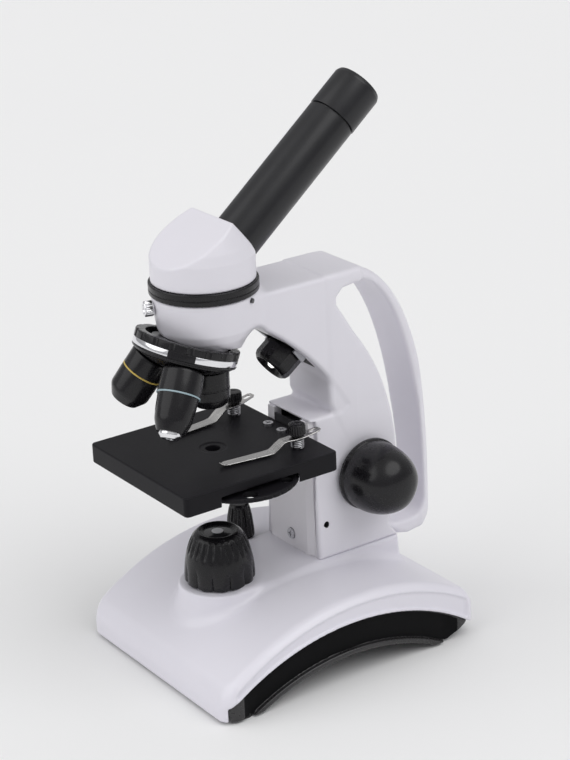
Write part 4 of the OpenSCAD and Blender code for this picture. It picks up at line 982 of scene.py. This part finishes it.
def flats(a, z, r):
    """A ten-sided outline where the radius is large, round where it is small."""
    n = 10
    w = np.clip((r - 8.4) / 1.0, 0, 1)
    f = math.cos(math.pi / n) / np.cos(((a + math.pi / n) % (2 * math.pi / n)) - math.pi / n)
    return r * (1 - w + w * f)


# Upper lamp: a hollow barrel on two pins, with a pearl window and a diode.
barrel = [(0, 8.0), (5.95, 8.0), (5.95, 3.2), (6.2, 2.6), (8.0, 0.1, 0.2), (8.5, 0.1, 0.2),
          (9.8, 1.1, 0.3), (10.6, 3.0, 0.4), (10.6, 19.5, 0.4), (10.1, 20), (0, 20)]
dress(lathe("lamp_barrel", barrel, ON_LAMP, 200, flats, sharp=14), "top_lamp",
      slot_of["upper_lamp"], M["knob_black"], "upper_lamp")
dress(lathe("lamp_pins", [(0, -12.5), (1.5, -12.5, 0.2), (1.5, 12.5, 0.2), (0, 12.5)],
            ON_LAMP @ T((0, 0, 16.5)) @ turn(90, "Y"), 32), "top_lamp", slot_of["upper_lamp"],
      M["steel_part"])
window = [(0, 4.7), (2.5, 4.5), (4.6, 3.9), (5.9, 3.3), (5.9, 6.9), (0, 6.9)]
dress(lathe("lamp_window", window, ON_LAMP, 64), "top_lamp", slot_of["upper_lamp_lens"], PEARL,
      "upper_lamp_lens")
# The diode glows faintly as a painted glint.
diode = [(0, 0.5), (1.3, 0.8), (2.1, 1.7), (2.4, 3.0), (2.4, 5.2), (0, 5.2)]
dress(lathe("lamp_diode", diode, ON_LAMP, 48), "top_lamp", slot_of["upper_lamp_lens"], DIODE_GLINT)

# ---------------------------------------------------------------- remaining CAD parts

# Those that no piece stands for keep their CAD shape, with fine bevels.
for name, o in nodes.items():
    if o.hide_render:
        continue
    o.data.materials.clear()
    o.data.materials.append({"nosepiece_mount": M["black_metal"]}.get(name, M[slot_of[name]]))
    bevel = o.modifiers.new("edges", "BEVEL")
    bevel.width = 0.00018
    bevel.segments = 2
    bevel.limit_method = "ANGLE"
    bevel.angle_limit = math.radians(40)
    bevel.harden_normals = False

# ---------------------------------------------------------------- room, light and camera

floor = bpy.data.meshes.new("floor")
floor.from_pydata([(-9, -9, 0), (9, -9, 0), (9, 9, 0), (-9, 9, 0)], [], [(0, 1, 2, 3)])
ground = bpy.data.objects.new("floor", floor)
bpy.context.scene.collection.objects.link(ground)
ground.data.materials.append(material("floor", (0.885, 0.885, 0.887), 0.85, vary=0.004, patch=1.2,
                                      grain=60, relief=0.02, specular=0.1))

world = bpy.data.worlds.new("room")
bpy.context.scene.world = world
world.use_nodes = True
w = world.node_tree
back = w.nodes["Background"]
where = w.nodes.new("ShaderNodeTexCoord")
split = w.nodes.new("ShaderNodeSeparateXYZ")
ramp = w.nodes.new("ShaderNodeValToRGB")
w.links.new(where.outputs["Generated"], split.inputs["Vector"])
w.links.new(split.outputs["Z"], ramp.inputs["Fac"])
w.links.new(ramp.outputs["Color"], back.inputs["Color"])
ramp.color_ramp.elements[0].color = (0.52, 0.52, 0.54, 1)
ramp.color_ramp.elements[1].color = (1.0, 1.0, 1.0, 1)
back.inputs["Strength"].default_value = 0.65


def sun(name, azimuth, elevation, strength, spread):
    data = bpy.data.lights.new(name, "SUN")
    data.energy = strength
    data.angle = math.radians(spread)
    o = bpy.data.objects.new(name, data)
    a, e = math.radians(azimuth), math.radians(elevation)
    d = Vector((math.cos(e) * math.cos(a), math.cos(e) * math.sin(a), math.sin(e)))
    o.rotation_euler = d.to_track_quat("Z", "Y").to_euler()
    bpy.context.scene.collection.objects.link(o)


sun("key", 20, 53, 1.0, 50)
sun("fill", -106, 36, 0.84, 60)

# The camera stands where the photograph's did, as solved from the object's own lines.
camera = bpy.data.cameras.new("camera")
camera.lens = 102.16
camera.sensor_width = 36
camera.clip_end = 50
eye = bpy.data.objects.new("camera", camera)
LOOK = Euler([math.radians(v) for v in (68.61728, 2.26722, 54.98919)])
eye.matrix_world = T((0.846724, -0.570734, 0.542167)) @ LOOK.to_matrix().to_4x4()
bpy.context.scene.collection.objects.link(eye)
bpy.context.scene.camera = eye
bpy.context.scene.view_settings.view_transform = "Standard"
bpy.context.scene.view_settings.look = "None"
